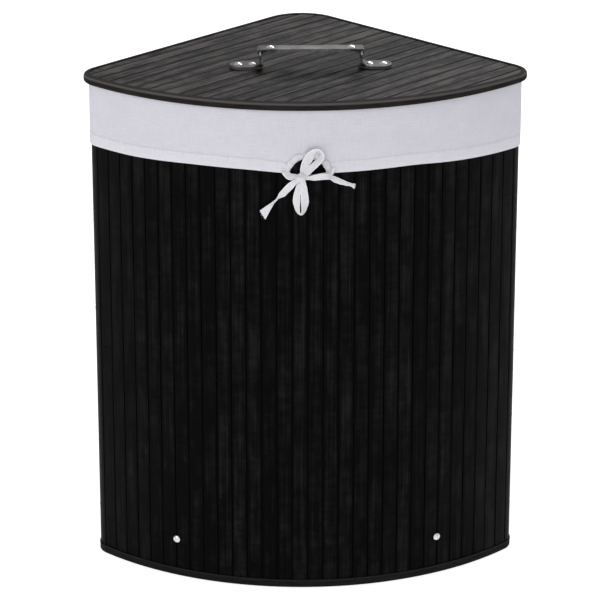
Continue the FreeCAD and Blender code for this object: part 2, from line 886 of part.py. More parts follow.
lid_lining = cut("lid_lining", lid_lining_whole, rivet_hole_group)
lid_board = cut("lid_board", lid_board_whole, rivet_hole_group)
lid_slats = cut("lid_slats", lid_slats_whole, rivet_hole_group)

for side, word in ((-1, "left"), (1, "right")):
    name = f"tab_{word}"
    flat = tab_outline(name + "_flat", side)
    end = cylinder(
        name + "_end",
        "tab_wide / 2",
        "tab_layers",
        Placement(Vector(HANDLE_X + side * size("tab_round_x"), HANDLE_Y, TAB_LOW), Rotation()),
    )
    half = size("leather_wide") / 2
    place = eye_place(side * size("ring_x"), size("ring_low_z"), half)
    eye = cylinder(name + "_eye", EYE_RADIUS, "leather_wide", place)
    bore = cylinder(name + "_bore", BORE_RADIUS, "leather_wide", place)
    solid = fuse(name + "_solid", [flat, end, eye])
    bored = cut(name + "_bored", solid, bore)
    tabs[name] = cut(name, bored, rivet_hole_group)


def ring(name, x):
    """A rectangular ring of round wire that stands across the handle."""
    bend = size("ring_bend")
    half = size("ring_half_wide")
    low = size("ring_low_z")
    high = size("ring_high_z")
    pieces = []
    bar = "2 * ring_half_wide - 2 * ring_bend"
    leg = "ring_high_z - ring_low_z - 2 * ring_bend"
    for label, z in (("low", low), ("high", high)):
        start = Vector(x, HANDLE_Y - half + bend, z)
        place = rod_along(Vector(0, 1, 0), start)
        pieces.append(cylinder(f"{name}_{label}", "ring_wire_radius", bar, place))
    for label, way in (("front", -1), ("back", 1)):
        start = Vector(x, HANDLE_Y + way * half, low + bend)
        place = rod_along(Vector(0, 0, 1), start)
        pieces.append(cylinder(f"{name}_{label}", "ring_wire_radius", leg, place))
    corners = (
        (1, high, 0),
        (-1, high, 90),
        (-1, low, 180),
        (1, low, 270),
    )
    for way, z, turn in corners:
        middle_z = z - bend if z == high else z + bend
        middle = Vector(x, HANDLE_Y + way * (half - bend), middle_z)
        bent = doc.addObject("Part::Torus", f"{name}_bend_{turn}")
        bind(bent, Radius1="ring_bend", Radius2="ring_wire_radius")
        bent.Angle3 = 90
        upright = Rotation(Vector(0, 1, 0), Vector(0, 0, 1), Vector(1, 0, 0), "XYZ")
        bent.Placement = Placement(middle, upright.multiply(Rotation(Vector(0, 0, 1), turn)))
        pieces.append(bent)
    return fuse(name, pieces)


ring_left = ring("ring_left", HANDLE_X - size("ring_x"))
ring_right = ring("ring_right", HANDLE_X + size("ring_x"))

# The strap is two layers of leather folded round both rings, with a slight waist.
eye_top = size("ring_high_z") + size("ring_wire_radius") + size("eye_play") + size("leather_thick")
strap_flat = box(
    "strap_flat",
    "2 * ring_x",
    "leather_wide",
    "strap_thick",
    Placement(
        Vector(
            HANDLE_X - size("ring_x"),
            HANDLE_Y - size("leather_wide") / 2,
            eye_top - size("strap_thick"),
        ),
        Rotation(),
    ),
)
strap_parts = [strap_flat]
strap_bores = []
for side, word in ((-1, "left"), (1, "right")):
    place = eye_place(side * size("ring_x"), size("ring_high_z"), size("leather_wide") / 2)
    strap_parts.append(cylinder(f"strap_eye_{word}", EYE_RADIUS, "leather_wide", place))
    strap_bores.append(cylinder(f"strap_bore_{word}", BORE_RADIUS, "leather_wide", place))
waist_radius = (size("strap_rivet_x") ** 2 + size("strap_waist") ** 2) / (2 * size("strap_waist"))
for way, word in ((-1, "front"), (1, "back")):
    reach = size("leather_wide") / 2 - size("strap_waist") + waist_radius
    middle = Vector(HANDLE_X, HANDLE_Y + way * reach, eye_top - 2 * size("strap_thick"))
    place = Placement(middle, Rotation())
    waist = "(strap_rivet_x ^ 2 + strap_waist ^ 2) / (2 * strap_waist)"
    strap_bores.append(cylinder(f"strap_waist_{word}", waist, "3 * strap_thick", place))
strap_rivet_parts = []
for side, word in ((-1, "left"), (1, "right")):
    x = side * size("strap_rivet_x")
    strap_bores.append(
        down_rod(
            f"strap_hole_{word}",
            "rivet_hole_radius",
            f"strap_thick + {2 * PAST}",
            x,
            eye_top + PAST,
        )
    )
    pin = fastener(
        f"strap_pin_{word}",
        "rivet_head_radius",
        "rivet_head_rise",
        "rivet_shank_radius",
        "strap_thick",
        Vector(HANDLE_X + x, HANDLE_Y, eye_top),
        Vector(0, 0, -1),
    )
    burr = down_rod(
        f"strap_burr_{word}", "burr_radius", "washer_thick", x, eye_top - size("strap_thick")
    )
    strap_rivet_parts.append(fuse(f"strap_rivet_{word}", [pin, burr]))
strap_solid = fuse("strap_solid", strap_parts)
handle_strap = cut("handle_strap", strap_solid, group("strap_cuts", strap_bores))
strap_rivets = group("strap_rivets", strap_rivet_parts)

# ---------------------------------------------------------------- check and write

PARTS = {
    "front_slats": front_slats,
    "left_wall_slats": left_wall_slats,
    "right_wall_slats": right_wall_slats,
    "front_corner_slats": front_corner_slats,
    "back_corner_slats": back_corner_slats,
    "wall_backing": wall_backing,
    "bottom_binding": bottom_binding,
    "top_binding": top_binding,
    "rim_hoop": rim_hoop,
    "base_board": base_board,
    "base_screws": base_screws,
    "liner_bag": liner_bag,
    "cuff_casing": cuff_casing,
    "drawstring_run": drawstring_run,
    "bow_knot": bow_knot,
    **strings,
    "lid_board": lid_board,
    "lid_slats": lid_slats,
    "lid_binding": lid_binding,
    "lid_lining": lid_lining,
    **tabs,
    "tab_rivets": tab_rivets,
    "rivet_washers": rivet_washers,
    "ring_left": ring_left,
    "ring_right": ring_right,
    "handle_strap": handle_strap,
    "strap_rivets": strap_rivets,
}

doc.recompute()
for thing in doc.Objects:
    if "Invalid" in thing.State or "Error" in thing.State:
        raise RuntimeError(f"{thing.Name} is {thing.State}: {thing.getStatusString()}")
for name, thing in PARTS.items():
    thing.Label = name
    if thing.Shape.isNull() or not thing.Shape.isValid():
        raise RuntimeError(f"{name} has no valid shape")

os.makedirs("parts", exist_ok=True)
for name, thing in PARTS.items():
    thing.Shape.exportStep(f"parts/{name}.step")
    bounds = thing.Shape.BoundBox
    print(
        f"{name}: {len(thing.Shape.Solids)} solids, {thing.Shape.Volume / 1000:.2f} cm3,",
        f"x {bounds.XMin:.1f}..{bounds.XMax:.1f}, y {bounds.YMin:.1f}..{bounds.YMax:.1f},",
        f"z {bounds.ZMin:.1f}..{bounds.ZMax:.1f}",
    )
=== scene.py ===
import math

import bpy
import numpy as np
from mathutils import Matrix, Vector


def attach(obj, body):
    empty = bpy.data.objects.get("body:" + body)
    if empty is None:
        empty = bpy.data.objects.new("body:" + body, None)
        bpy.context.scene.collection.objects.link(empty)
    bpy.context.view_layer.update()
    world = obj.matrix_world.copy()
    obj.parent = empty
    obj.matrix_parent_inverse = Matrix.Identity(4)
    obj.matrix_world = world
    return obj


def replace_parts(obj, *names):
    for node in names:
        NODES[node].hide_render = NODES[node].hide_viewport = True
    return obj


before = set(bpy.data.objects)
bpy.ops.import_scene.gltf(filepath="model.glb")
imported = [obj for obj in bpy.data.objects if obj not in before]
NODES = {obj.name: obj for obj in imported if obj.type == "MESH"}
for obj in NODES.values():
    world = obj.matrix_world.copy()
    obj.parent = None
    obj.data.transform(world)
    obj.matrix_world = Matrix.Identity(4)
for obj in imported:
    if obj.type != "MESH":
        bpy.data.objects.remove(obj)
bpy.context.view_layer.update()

MM = 0.001
TAU = 2.0 * math.pi
ROOT_TWO = math.sqrt(2.0)

# Plan of the slats' outer face: two straight walls and a curved front, with rounded corners.
FRONT_RADIUS = 340.0
FRONT_Y = 162.4
APEX_Y = 196.4
CORNER_RADIUS = 24.0
BACK_RADIUS = 45.0

# Heights and offsets in millimetres; an offset is outwards from the slats' outer face.
SLAT_LOW = 0.8
SLAT_HIGH = 588.4
SLAT_THICK = 2.0
SLAT_GAP = 0.8
SLAT_ROWS = 27
CUFF_LOW = 516.6
CUFF_OFFSET = 1.25
RIM_Z = 590.05
BAG_OFFSET = -6.25
BAG_FLOOR_Z = 51.4
BAG_MIDDLE_Y = -6.4
BAG_TURN = 16.0
KEYHOLE_RADIUS = 21.0
KEYHOLE_Z = 512.0
CASING_WIDE = 14.0
CASING_OPEN_LEFT = 24.2
CASING_OPEN_RIGHT = 25.4
LID_LOW = 590.4
LID_HIGH = 600.0
LID_OFFSET = 7.5
HANDLE_X = 6.5
HANDLE_Y = -41.4
RING_X = 58.4
RING_LOW_Z = 603.0
RING_HIGH_Z = 619.4

# ---------------------------------------------------------------- camera

camera_data = bpy.data.cameras.new("camera")
camera_data.lens = 193.7
camera_data.sensor_width = 36.0
camera_data.shift_y = -0.0333
camera = bpy.data.objects.new("camera", camera_data)
camera.location = (-0.0841, -3.6153, 1.6808)
camera.rotation_euler = (math.radians(69.384), 0.0, math.radians(-1.253))
bpy.context.scene.collection.objects.link(camera)
bpy.context.scene.camera = camera

# ---------------------------------------------------------------- plan of the basket


def plan_pieces():
    """The outline as arcs and straight walls, anticlockwise from the middle of the front."""
    start = APEX_Y - FRONT_Y - CORNER_RADIUS * ROOT_TWO
    reach = FRONT_RADIUS - CORNER_RADIUS
    corner_x = (start + math.sqrt(2 * reach * reach - start * start)) / 2
    corner_y = APEX_Y - CORNER_RADIUS * ROOT_TWO - corner_x
    back_y = APEX_Y - BACK_RADIUS * ROOT_TWO
    turn = math.atan2(corner_y - FRONT_Y, corner_x)
    quarter = math.pi / 4
    out = math.cos(quarter)
    right_foot = (corner_x + CORNER_RADIUS * out, corner_y + CORNER_RADIUS * out)
    left_head = (-BACK_RADIUS * out, back_y + BACK_RADIUS * out)
    wall = math.hypot(corner_x, back_y - corner_y)
    half = math.pi
    return [
        ("arc", (0.0, FRONT_Y), FRONT_RADIUS, -half / 2, turn),
        ("arc", (corner_x, corner_y), CORNER_RADIUS, turn, quarter),
        ("wall", right_foot, quarter, wall),
        ("arc", (0.0, back_y), BACK_RADIUS, quarter, half - quarter),
        ("wall", left_head, half - quarter, wall),
        ("arc", (-corner_x, corner_y), CORNER_RADIUS, half - quarter, half - turn),
        ("arc", (0.0, FRONT_Y), FRONT_RADIUS, half - turn, 1.5 * half),
    ]


PLAN = plan_pieces()
LENGTHS = [p[3] if p[0] == "wall" else p[2] * (p[4] - p[3]) for p in PLAN]
STARTS = np.concatenate([[0.0], np.cumsum(LENGTHS)])
AROUND = float(STARTS[-1])
FRONT_HALF = LENGTHS[0]


def spots(run, offset, z):
    """Points at a run round the outline, an offset outwards and a height, all in mm; in metres."""
    run, offset, z = np.broadcast_arrays(run, offset, z)
    along = np.mod(run, AROUND)
    points = np.zeros(run.shape + (3,))
    points[..., 2] = z
    for number, piece in enumerate(PLAN):
        here = (along >= STARTS[number]) & (along < STARTS[number + 1])
        if not here.any():
            continue
        ahead = along[here] - STARTS[number]
        if piece[0] == "arc":
            _, centre, radius, first, _ = piece
            angle = first + ahead / radius
            reach = radius + offset[here]
            points[here, 0] = centre[0] + reach * np.cos(angle)
            points[here, 1] = centre[1] + reach * np.sin(angle)
        else:
            _, foot, facing, _ = piece
            sin, cos = math.sin(facing), math.cos(facing)
            points[here, 0] = foot[0] - sin * ahead + cos * offset[here]
            points[here, 1] = foot[1] + cos * ahead + sin * offset[here]
    return points * MM


def stations(first, last, step):
    """Runs from first to last, closer together where the outline turns sharply."""
    out = []
    lap = math.floor(first / AROUND)
    joints = {s + AROUND * k for s in STARTS for k in (lap, lap + 1, lap + 2)}
    edges = [e for e in sorted({first, last} | joints) if first <= e <= last]
    for low, high in zip(edges, edges[1:]):
        middle = ((low + high) / 2) % AROUND
        piece = PLAN[min(int(np.searchsorted(STARTS, middle, "right")) - 1, len(PLAN) - 1)]
        fine = step if piece[0] == "wall" else min(step, piece[2] * 0.09)
        count = max(1, math.ceil((high - low) / fine - 1e-6))
        out.extend(np.linspace(low, high, count, endpoint=False))
    out.append(last)
    return np.array(out)


def in_front(x, standoff, z):
    """A point in metres that stands in front of the curved slats by standoff."""
    reach = FRONT_RADIUS + standoff
    return Vector((x, FRONT_Y - math.sqrt(reach * reach - x * x), z)) * MM


def waves(x, seed, length):
    """Smooth seeded noise between -1 and 1 along a line, with about this wave length."""
    draw = np.random.default_rng(seed)
    total = 0.0
    for _ in range(5):
        stretch = draw.uniform(0.55, 1.7)
        total = total + np.sin(TAU * np.asarray(x) / (length * stretch) + draw.uniform(0, TAU))
    return total / 3.0


def ripples(x, y, seed, length_x, length_y):
    """Smooth seeded noise over a surface."""
    draw = np.random.default_rng(seed)
    total = 0.0
    for _ in range(7):
        across = draw.choice((-1.0, 1.0)) / (length_x * draw.uniform(0.6, 1.8))
        up = 1.0 / (length_y * draw.uniform(0.6, 1.8))
        total = total + np.sin(TAU * (x * across + y * up) + draw.uniform(0, TAU))
    return total / 4.0


# ---------------------------------------------------------------- materials

# A wave texture of scale 1 repeats every TAU / 20.
WAVE_SCALE = TAU / 20.0


class Look:
    """A node material with one Principled shader, on a stored attribute or object coordinates."""

    def __init__(self, name, colour, attribute="grain", **constants):
        self.material = bpy.data.materials.new(name)
        self.material.use_nodes = True
        self.tree = self.material.node_tree
        self.shader = self.tree.nodes["Principled BSDF"]
        self.attribute = attribute
        self.feed(self.shader.inputs["Base Color"], colour)
        for label, value in constants.items():
            self.shader.inputs[label.replace("_", " ")].default_value = value
        self.material.diffuse_color = (*colour, 1.0)

    def feed(self, socket, value):
        """Link a socket to another one, or set its value; a colour is given without alpha."""
        if isinstance(value, bpy.types.NodeSocket):
            self.tree.links.new(value, socket)
        else:
            socket.default_value = (*value, 1.0) if socket.type == "RGBA" else value

    def add(self, kind, inputs=(), out=0, **settings):
        """A shader node with these inputs and settings; gives one of its outputs."""
        node = self.tree.nodes.new("ShaderNode" + kind)
        for label, value in settings.items():
            setattr(node, label, value)
        for label, value in dict(inputs).items():
            self.feed(node.inputs[label], value)
        return node.outputs[out]

    def place(self, stretch=(1.0, 1.0, 1.0)):
        """Coordinates in mm, divided by stretch."""
        if self.attribute:
            source = self.add("Attribute", out="Vector", attribute_name=self.attribute)
        else:
            source = self.add("TexCoord", out="Object")
        scale = tuple(1000.0 / s for s in stretch)
        return self.add("Mapping", {"Vector": source, "Scale": scale})

    def noise(self, stretch, detail, rough, distort=0.0):
        """Noise whose grains are about as large as stretch, in mm."""
        inputs = {"Vector": self.place(stretch), "Scale": 1.0, "Detail": detail}
        inputs |= {"Roughness": rough, "Distortion": distort}
        return self.add("TexNoise", inputs, out="Fac")

    def wave(self, where, period, direction, distort):
        inputs = {"Vector": where, "Scale": WAVE_SCALE / period, "Distortion": distort}
        return self.add("TexWave", inputs, out="Fac", bands_direction=direction)

    def value(self, attribute):
        return self.add("Attribute", out="Fac", attribute_name=attribute)

    def span(self, source, low, high, to_low, to_high):
        """The source's values from low to high, carried over to another range and clamped."""
        return self.add("MapRange", {0: source, 1: low, 2: high, 3: to_low, 4: to_high})

    def sum(self, first, second):
        return self.add("Math", {0: first, 1: second}, operation="ADD")

    def product(self, first, second):
        return self.add("Math", {0: first, 1: second}, operation="MULTIPLY")

    def ramp(self, source, *stops):
        ramp = self.tree.nodes.new("ShaderNodeValToRGB")
        points = ramp.color_ramp.elements
        while len(points) < len(stops):
            points.new(0.5)
        for point, (place, colour) in zip(points, stops):
            point.position = place
            point.color = (*colour, 1.0)
        self.feed(ramp.inputs["Fac"], source)
        return ramp.outputs["Color"]

    def tint(self, colour, factor, other):
        """A colour mixed with another one by a factor."""
        node = self.tree.nodes.new("ShaderNodeMix")
        node.data_type = "RGBA"
        sockets = {s.name: s for s in node.inputs if s.enabled}
        for label, value in (("Factor", factor), ("A", colour), ("B", other)):
            self.feed(sockets[label], value)
        return next(s for s in node.outputs if s.enabled)

    def bump(self, height, strength, distance_mm, under=None):
        inputs = {"Height": height, "Strength": strength, "Distance": distance_mm * MM}
        if under:
            inputs["Normal"] = under
        return self.add("Bump", inputs)

    def finish(self, colour, rough, normal):
        """Give the shader its colour, roughness and normal, and return the material."""
        for label, source in (("Base Color", colour), ("Roughness", rough), ("Normal", normal)):
            self.feed(self.shader.inputs[label], source)
        return self.material


def paler(colour, times):
    """The colour, so many times as light."""
    return tuple(times * c for c in colour)


def bamboo(name, dark, light, rough, specular, contrast):
    """Stained bamboo: fine fibres along each slat, soft bands across it and a few pale specks."""
    look = Look(name, light, Specular_IOR_Level=specular, IOR=1.5)
    fibre = look.noise((0.42, 60.0, 1.0), 5.0, 0.65)
    coarse = look.noise((2.6, 170.0, 1.0), 3.0, 0.5)
    band = look.noise((26.0, 9.0, 1.0), 4.0, 0.6, 0.4)
    blotch = look.noise((14.0, 46.0, 1.0), 3.0, 0.55)
    streaky = look.value("streaky")
    swing = 0.28 * contrast
    fine = look.span(fibre, 0.32, 0.68, -swing, swing)
    fine = look.product(fine, look.span(streaky, 0.0, 1.0, 0.45, 1.0))
    mixed = look.sum(fine, look.value("tone"))
    for source, share in ((coarse, 0.16), (band, 0.12), (blotch, 0.16)):
        swing = share * contrast
        mixed = look.sum(mixed, look.span(source, 0.34, 0.67, -swing, swing))
    stain = look.ramp(mixed, (0.0, dark), (0.55, light), (1.0, paler(light, 2.3)))
    speck = look.span(look.noise((0.9, 1.6, 1.0), 1.0, 0.4), 0.8, 0.84, 0.0, 0.5)
    groove = look.product(look.span(streaky, 0.0, 1.0, 0.25, 1.0), fibre)
    return look.finish(
        look.tint(stain, speck, (0.09, 0.083, 0.078)),
        look.span(look.sum(fibre, band), 0.75, 1.3, *rough),
        look.bump(groove, 0.75, 0.3, look.bump(band, 0.35, 0.35)),
    )


def ribbon_cloth(name, colour, wear_and_highlight_colour, specular, wear=1.0):
    """Ribbed woven ribbon: ribs across it, patches of wear and fluff, and paler where tone says,
    which on the lid's edge is a painted highlight.
    """
    look = Look(name, colour, Specular_IOR_Level=specular)
    where = look.place()
    ribs = look.wave(where, 0.85, "X", 0.6)
    weft = look.wave(where, 0.5, "Y", 0.4)
    patches = look.span(look.noise((30.0, 4.0, 1.0), 4.0, 0.6), 0.35, 0.7, 0.0, wear)
    fluff = look.span(look.noise((0.5, 0.5, 1.0), 3.0, 0.7), 0.45, 0.75, 0.0, 0.35 * wear)
    # Where tone is set the ribbon turns paler; on the lid's edge this is a painted highlight.
    for factor in (patches, fluff, look.value("tone")):
        colour = look.tint(colour, factor, wear_and_highlight_colour)
    height = look.sum(ribs, look.product(weft, 0.4))
    return look.finish(
        colour, look.span(ribs, 0.0, 1.0, 0.68, 0.86), look.bump(height, 0.6, 0.12)
    )


def woven(name, colour, shade, thread, slub, strength, sheen=0.0):
    """Plain woven cotton: warp and weft threads with thicker slubs in both, and a painted highlight
    along a tape's edges where tone is set.
    """
    look = Look(name, colour, Specular_IOR_Level=0.18, Sheen_Weight=sheen, Sheen_Roughness=0.5)
    where = look.place()
    warp = look.wave(where, thread, "X", 1.2)
    weft = look.wave(where, thread * 1.1, "Y", 1.2)
    across = look.noise((16.0 * slub, 0.75 * slub, 1.0), 4.0, 0.62)
    upright = look.noise((0.8 * slub, 20.0 * slub, 1.0), 4.0, 0.62)
    cloud = look.span(look.noise((34.0, 22.0, 1.0), 3.0, 0.5), 0.35, 0.65, 0.0, 0.18)
    slubs = look.span(across, 0.35, 0.66, 0.0, 0.6)
    slubs = look.sum(slubs, look.span(upright, 0.38, 0.68, 0.0, 0.4))
    cloth = look.tint(colour, look.sum(slubs, cloud), shade)
    # Painted highlight: near white along a tape's thick edges, where tone is set.
    edge_highlight = look.span(look.value("tone"), 0.0, 1.0, 0.0, 0.7)
    height = look.sum(look.product(warp, weft), look.sum(across, upright))
    return look.finish(
        look.tint(cloth, edge_highlight, (0.95, 0.95, 0.96)),
        look.span(warp, 0.0, 1.0, 0.78, 0.92),
        look.bump(height, strength, 0.18),
    )


def plain_cloth(name, colour):
    """Dark woven cloth for a carried-over part, from object coordinates."""
    look = Look(name, colour, None, Specular_IOR_Level=0.15)
    where = look.place()
    threads = look.product(look.wave(where, 0.9, "Z", 0.8), look.wave(where, 0.9, "X", 0.8))
    fuzz = look.noise((1.2, 1.2, 1.2), 4.0, 0.65)
    cloud = look.span(look.noise((40.0, 40.0, 40.0), 3.0, 0.5), 0.4, 0.7, 0.0, 0.4)
    mixed = look.sum(look.span(fuzz, 0.35, 0.7, 0.0, 0.6), cloud)
    return look.finish(
        look.tint(colour, mixed, paler(colour, 2.2)),
        look.span(fuzz, 0.3, 0.7, 0.78, 0.95),
        look.bump(threads, 0.5, 0.15),
    )


def fibre_board(name, colour):
    """Dark board with pressed fibres."""
    look = Look(name, colour, None, Specular_IOR_Level=0.25)
    flake = look.noise((3.0, 1.2, 2.0), 6.0, 0.7)
    cloud = look.span(look.noise((30.0, 24.0, 30.0), 3.0, 0.5), 0.4, 0.7, 0.0, 0.3)
    mixed = look.sum(look.span(flake, 0.3, 0.7, 0.0, 0.7), cloud)
    return look.finish(
        look.tint(colour, mixed, paler(colour, 1.9)),
        look.span(flake, 0.3, 0.7, 0.5, 0.75),
        look.bump(flake, 0.3, 0.2),
    )


def leather(name, colour, wear_and_painted_shade, specular):
    """Smooth black leather: fine pebble grain, creases and paler edges from wear; on the strap,
    tone also carries painted shade.
    """
    look = Look(
        name, colour, None, Specular_IOR_Level=specular, Coat_Weight=0.12, Coat_Roughness=0.3
    )
    cells = {"Vector": look.place((0.9, 0.9, 0.9)), "Scale": 1.0, "Randomness": 1.0}
    pebble = look.add("TexVoronoi", cells, out="Distance")
    crease = look.noise((2.0, 9.0, 4.0), 5.0, 0.6)
    cloud = look.span(look.noise((14.0, 10.0, 10.0), 4.0, 0.55), 0.35, 0.7, 0.0, 0.5)
    # tone pales the edges from wear, and on the strap leaves its ends darker as painted shade.
    mixed = look.sum(cloud, look.value("tone"))
    mixed = look.sum(mixed, look.span(crease, 0.45, 0.7, 0.0, 0.25))
    height = look.sum(look.product(pebble, 0.7), crease)
    return look.finish(
        look.tint(colour, mixed, wear_and_painted_shade),
        look.span(look.sum(crease, pebble), 0.6, 1.3, 0.36, 0.52),
        look.bump(height, 0.25, 0.12),
    )


def metal(name, colour, dark, rough):
    """Plated metal with faint brushing and dull patches."""
    look = Look(name, colour, None, Metallic=1.0)
    brush = look.noise((0.25, 2.5, 1.0), 4.0, 0.6)
    patch = look.noise((3.0, 3.0, 3.0), 4.0, 0.6)
    return look.finish(
        look.tint(colour, look.span(patch, 0.45, 0.75, 0.0, 0.6), dark),
        look.span(look.sum(brush, patch), 0.7, 1.3, *rough),
        look.bump(brush, 0.08, 0.05),
    )


WALL_STAIN = ((0.0007, 0.0006, 0.0006), (0.0047, 0.0043, 0.0044))
# Painted reflection: the lid's stain is far paler than the walls', though both are the same bamboo.
# This stands in for the bright surroundings that its top reflects at a grazing view.
LID_STAIN_AND_REFLECTION = ((0.0012, 0.001, 0.0009), (0.0365, 0.0318, 0.0298))
BAMBOO = bamboo("bamboo", *WALL_STAIN, (0.42, 0.62), 0.036, 2.0)
LID_BAMBOO_WITH_REFLECTION = bamboo("lid_bamboo", *LID_STAIN_AND_REFLECTION, (0.42, 0.64), 0.1, 4.8)
RIBBON = ribbon_cloth("ribbon", (0.004, 0.0037, 0.0038), (0.015, 0.014, 0.014), 0.06)
# Its pale colour mostly serves the painted highlight over the upper bend of the lid's edge.
LID_RIBBON = ribbon_cloth(
    "lid_ribbon", (0.0075, 0.0066, 0.0064), (0.105, 0.096, 0.092), 0.06, 0.16
)
DARK_THREAD = ribbon_cloth("dark_thread", (0.02, 0.019, 0.019), (0.05, 0.048, 0.047), 0.3)
COTTON = woven("cotton", (0.735, 0.722, 0.775), (0.612, 0.605, 0.666), 0.62, 1.0, 0.75)
CASING = woven("casing_cotton", (0.78, 0.77, 0.81), (0.66, 0.652, 0.7), 0.62, 1.0, 0.75)
TAPE = woven("tape", (0.83, 0.825, 0.845), (0.66, 0.66, 0.7), 0.8, 0.5, 0.9, 0.15)
THREAD = woven("thread", (0.76, 0.75, 0.79), (0.67, 0.665, 0.71), 0.4, 0.4, 0.4)
LEATHER = leather("leather", (0.016, 0.015, 0.0147), (0.095, 0.09, 0.087), 0.45)
# Painted sheen: the strap takes a paler copy of the tabs' leather for the grey gleam on its top.
PALE_STRAP_LEATHER = leather("strap_leather", (0.03, 0.028, 0.0275), (0.25, 0.238, 0.23), 0.42)
BACKING = plain_cloth("backing_cloth", (0.002, 0.002, 0.0021))
LINING = plain_cloth("lid_lining", (0.011, 0.0105, 0.0105))
BOARD = fibre_board("board", (0.008, 0.007, 0.0065))
PAINTED = fibre_board("painted_hoop", (0.012, 0.012, 0.012))
BRIGHT = metal("bright_steel", (0.86, 0.855, 0.84), (0.6, 0.59, 0.57), (0.16, 0.3))
SCREW = metal("screw_steel", (0.88, 0.88, 0.87), (0.62, 0.62, 0.61), (0.42, 0.58))
WIRE = metal("wire", (0.33, 0.32, 0.315), (0.16, 0.155, 0.15), (0.2, 0.34))

# ---------------------------------------------------------------- mesh building


class Builder:
    """Collects vertices, faces and per-vertex values, and makes one object of them."""

    def __init__(self):
        self.points = []
        self.faces = []
        self.grain = []
        self.tone = []
        self.streaky = []
        self.count = 0

    def grid(self, points, grain, tone=0.0, streaky=0.0, closed=(False, False), caps=False):
        """A grid of points (rows, columns, 3); grain holds texture coordinates in metres."""
        rows, columns = shape = points.shape[:2]
        self.points.append(points.reshape(-1, 3))
        self.grain.append(np.broadcast_to(grain, shape + (3,)).reshape(-1, 3))
        self.tone.append(np.broadcast_to(tone, shape).reshape(-1))
        self.streaky.append(np.broadcast_to(streaky, shape).reshape(-1))
        index = self.count + np.arange(rows * columns).reshape(shape)
        down = np.arange(rows if closed[0] else rows - 1)
        along = np.arange(columns if closed[1] else columns - 1)
        i, j = np.meshgrid(down, along, indexing="ij")
        after_i, after_j = (i + 1) % rows, (j + 1) % columns
        corners = [index[i, j], index[i, after_j], index[after_i, after_j], index[after_i, j]]
        self.faces.extend(map(tuple, np.stack(corners, -1).reshape(-1, 4).tolist()))
        if caps:
            self.faces.append(tuple(index[0, ::-1].tolist()))
            self.faces.append(tuple(index[-1].tolist()))
        self.count += rows * columns
        return self

    def tube(self, points, grain, tone=0.0, streaky=0.0):
        """Rows of points that each close on themselves, with the two ends capped."""
        return self.grid(points, grain, tone, streaky, closed=(False, True), caps=True)

    def make(self, name, body, material, slot, flip=False, sharp=None):
        """One mesh object of everything collected, riding on a body."""
        mesh = bpy.data.meshes.new(name)
        faces = [face[::-1] for face in self.faces] if flip else self.faces
        mesh.from_pydata(np.concatenate(self.points).tolist(), [], faces)
        for label, kind, key, values in (
            ("grain", "FLOAT_VECTOR", "vector", self.grain),
            ("tone", "FLOAT", "value", self.tone),
            ("streaky", "FLOAT", "value", self.streaky),
        ):
            layer = mesh.attributes.new(label, kind, "POINT")
            layer.data.foreach_set(key, np.concatenate(values).astype(np.float32).reshape(-1))
        mesh.shade_smooth()
        if sharp:
            mesh.set_sharp_from_angle(angle=math.radians(sharp))
        mesh.materials.append(material)
        thing = bpy.data.objects.new(name, mesh)
        bpy.context.scene.collection.objects.link(thing)
        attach(thing, body)
        return thing


def grain_of(across, along, seed=0.0):
    """Texture coordinates in metres from two distances in mm and a seed."""
    return np.stack(np.broadcast_arrays(across, along, seed), -1) * MM


def swept(builder, profile, runs, sway, tone):
    """A closed ribbon profile of (offset, height) points carried round the outline."""
    profile = np.array(profile)
    steps = np.hypot(*np.diff(profile, axis=0, append=profile[:1]).T)
    across = np.concatenate([[0.0], np.cumsum(steps)[:-1]])
    points = spots(runs[:, None], profile[None, :, 0] + sway[:, None], profile[None, :, 1])
    return builder.grid(points, grain_of(runs[:, None], across), tone, closed=(True, True))


def folded(outside, low, high, leg, thick, low_bend, high_bend):
    """Profile of a ribbon folded round the edge of a board, lying open inwards."""
    outer = [(outside - leg, low)]
    for bend, centre_z, first in (
        (low_bend, low + low_bend, -math.pi / 2),
        (high_bend, high - high_bend, 0.0),
    ):
        for angle in first + np.linspace(0.0, math.pi / 2, 7):
            across = outside - bend + bend * math.cos(angle)
            outer.append((across, centre_z + bend * math.sin(angle)))
    outer += [(outside - leg + 2.2, high), (outside - leg, high)]
    inner = [(outside - leg, high - thick), (outside - high_bend, high - thick)]
    inner += [(outside - thick, high - high_bend), (outside - thick, low + low_bend)]
    inner += [(outside - low_bend, low + thick), (outside - leg, low + thick)]
    return outer + inner


def stitches(runs, offset, heights, length, thick):
    """Short stitches that lie along the outline."""
    builder = Builder()
    ends = np.array([-0.5, -0.3, 0.3, 0.5])[:, None] * length
    grow = np.array([0.25, 1.0, 1.0, 0.25])[:, None] * thick / 2
    lift = np.array([-0.3, 0.35, 0.35, -0.3])[:, None] * thick
    angles = np.arange(6) * TAU / 6
    out = offset + lift + np.cos(angles) * grow
    for run, height in zip(runs, np.broadcast_to(heights, runs.shape)):
        up = height + np.sin(angles) * grow
        builder.tube(spots(run + ends, out, up), grain_of(run + ends, up))
    return builder


# ---------------------------------------------------------------- strings and bow

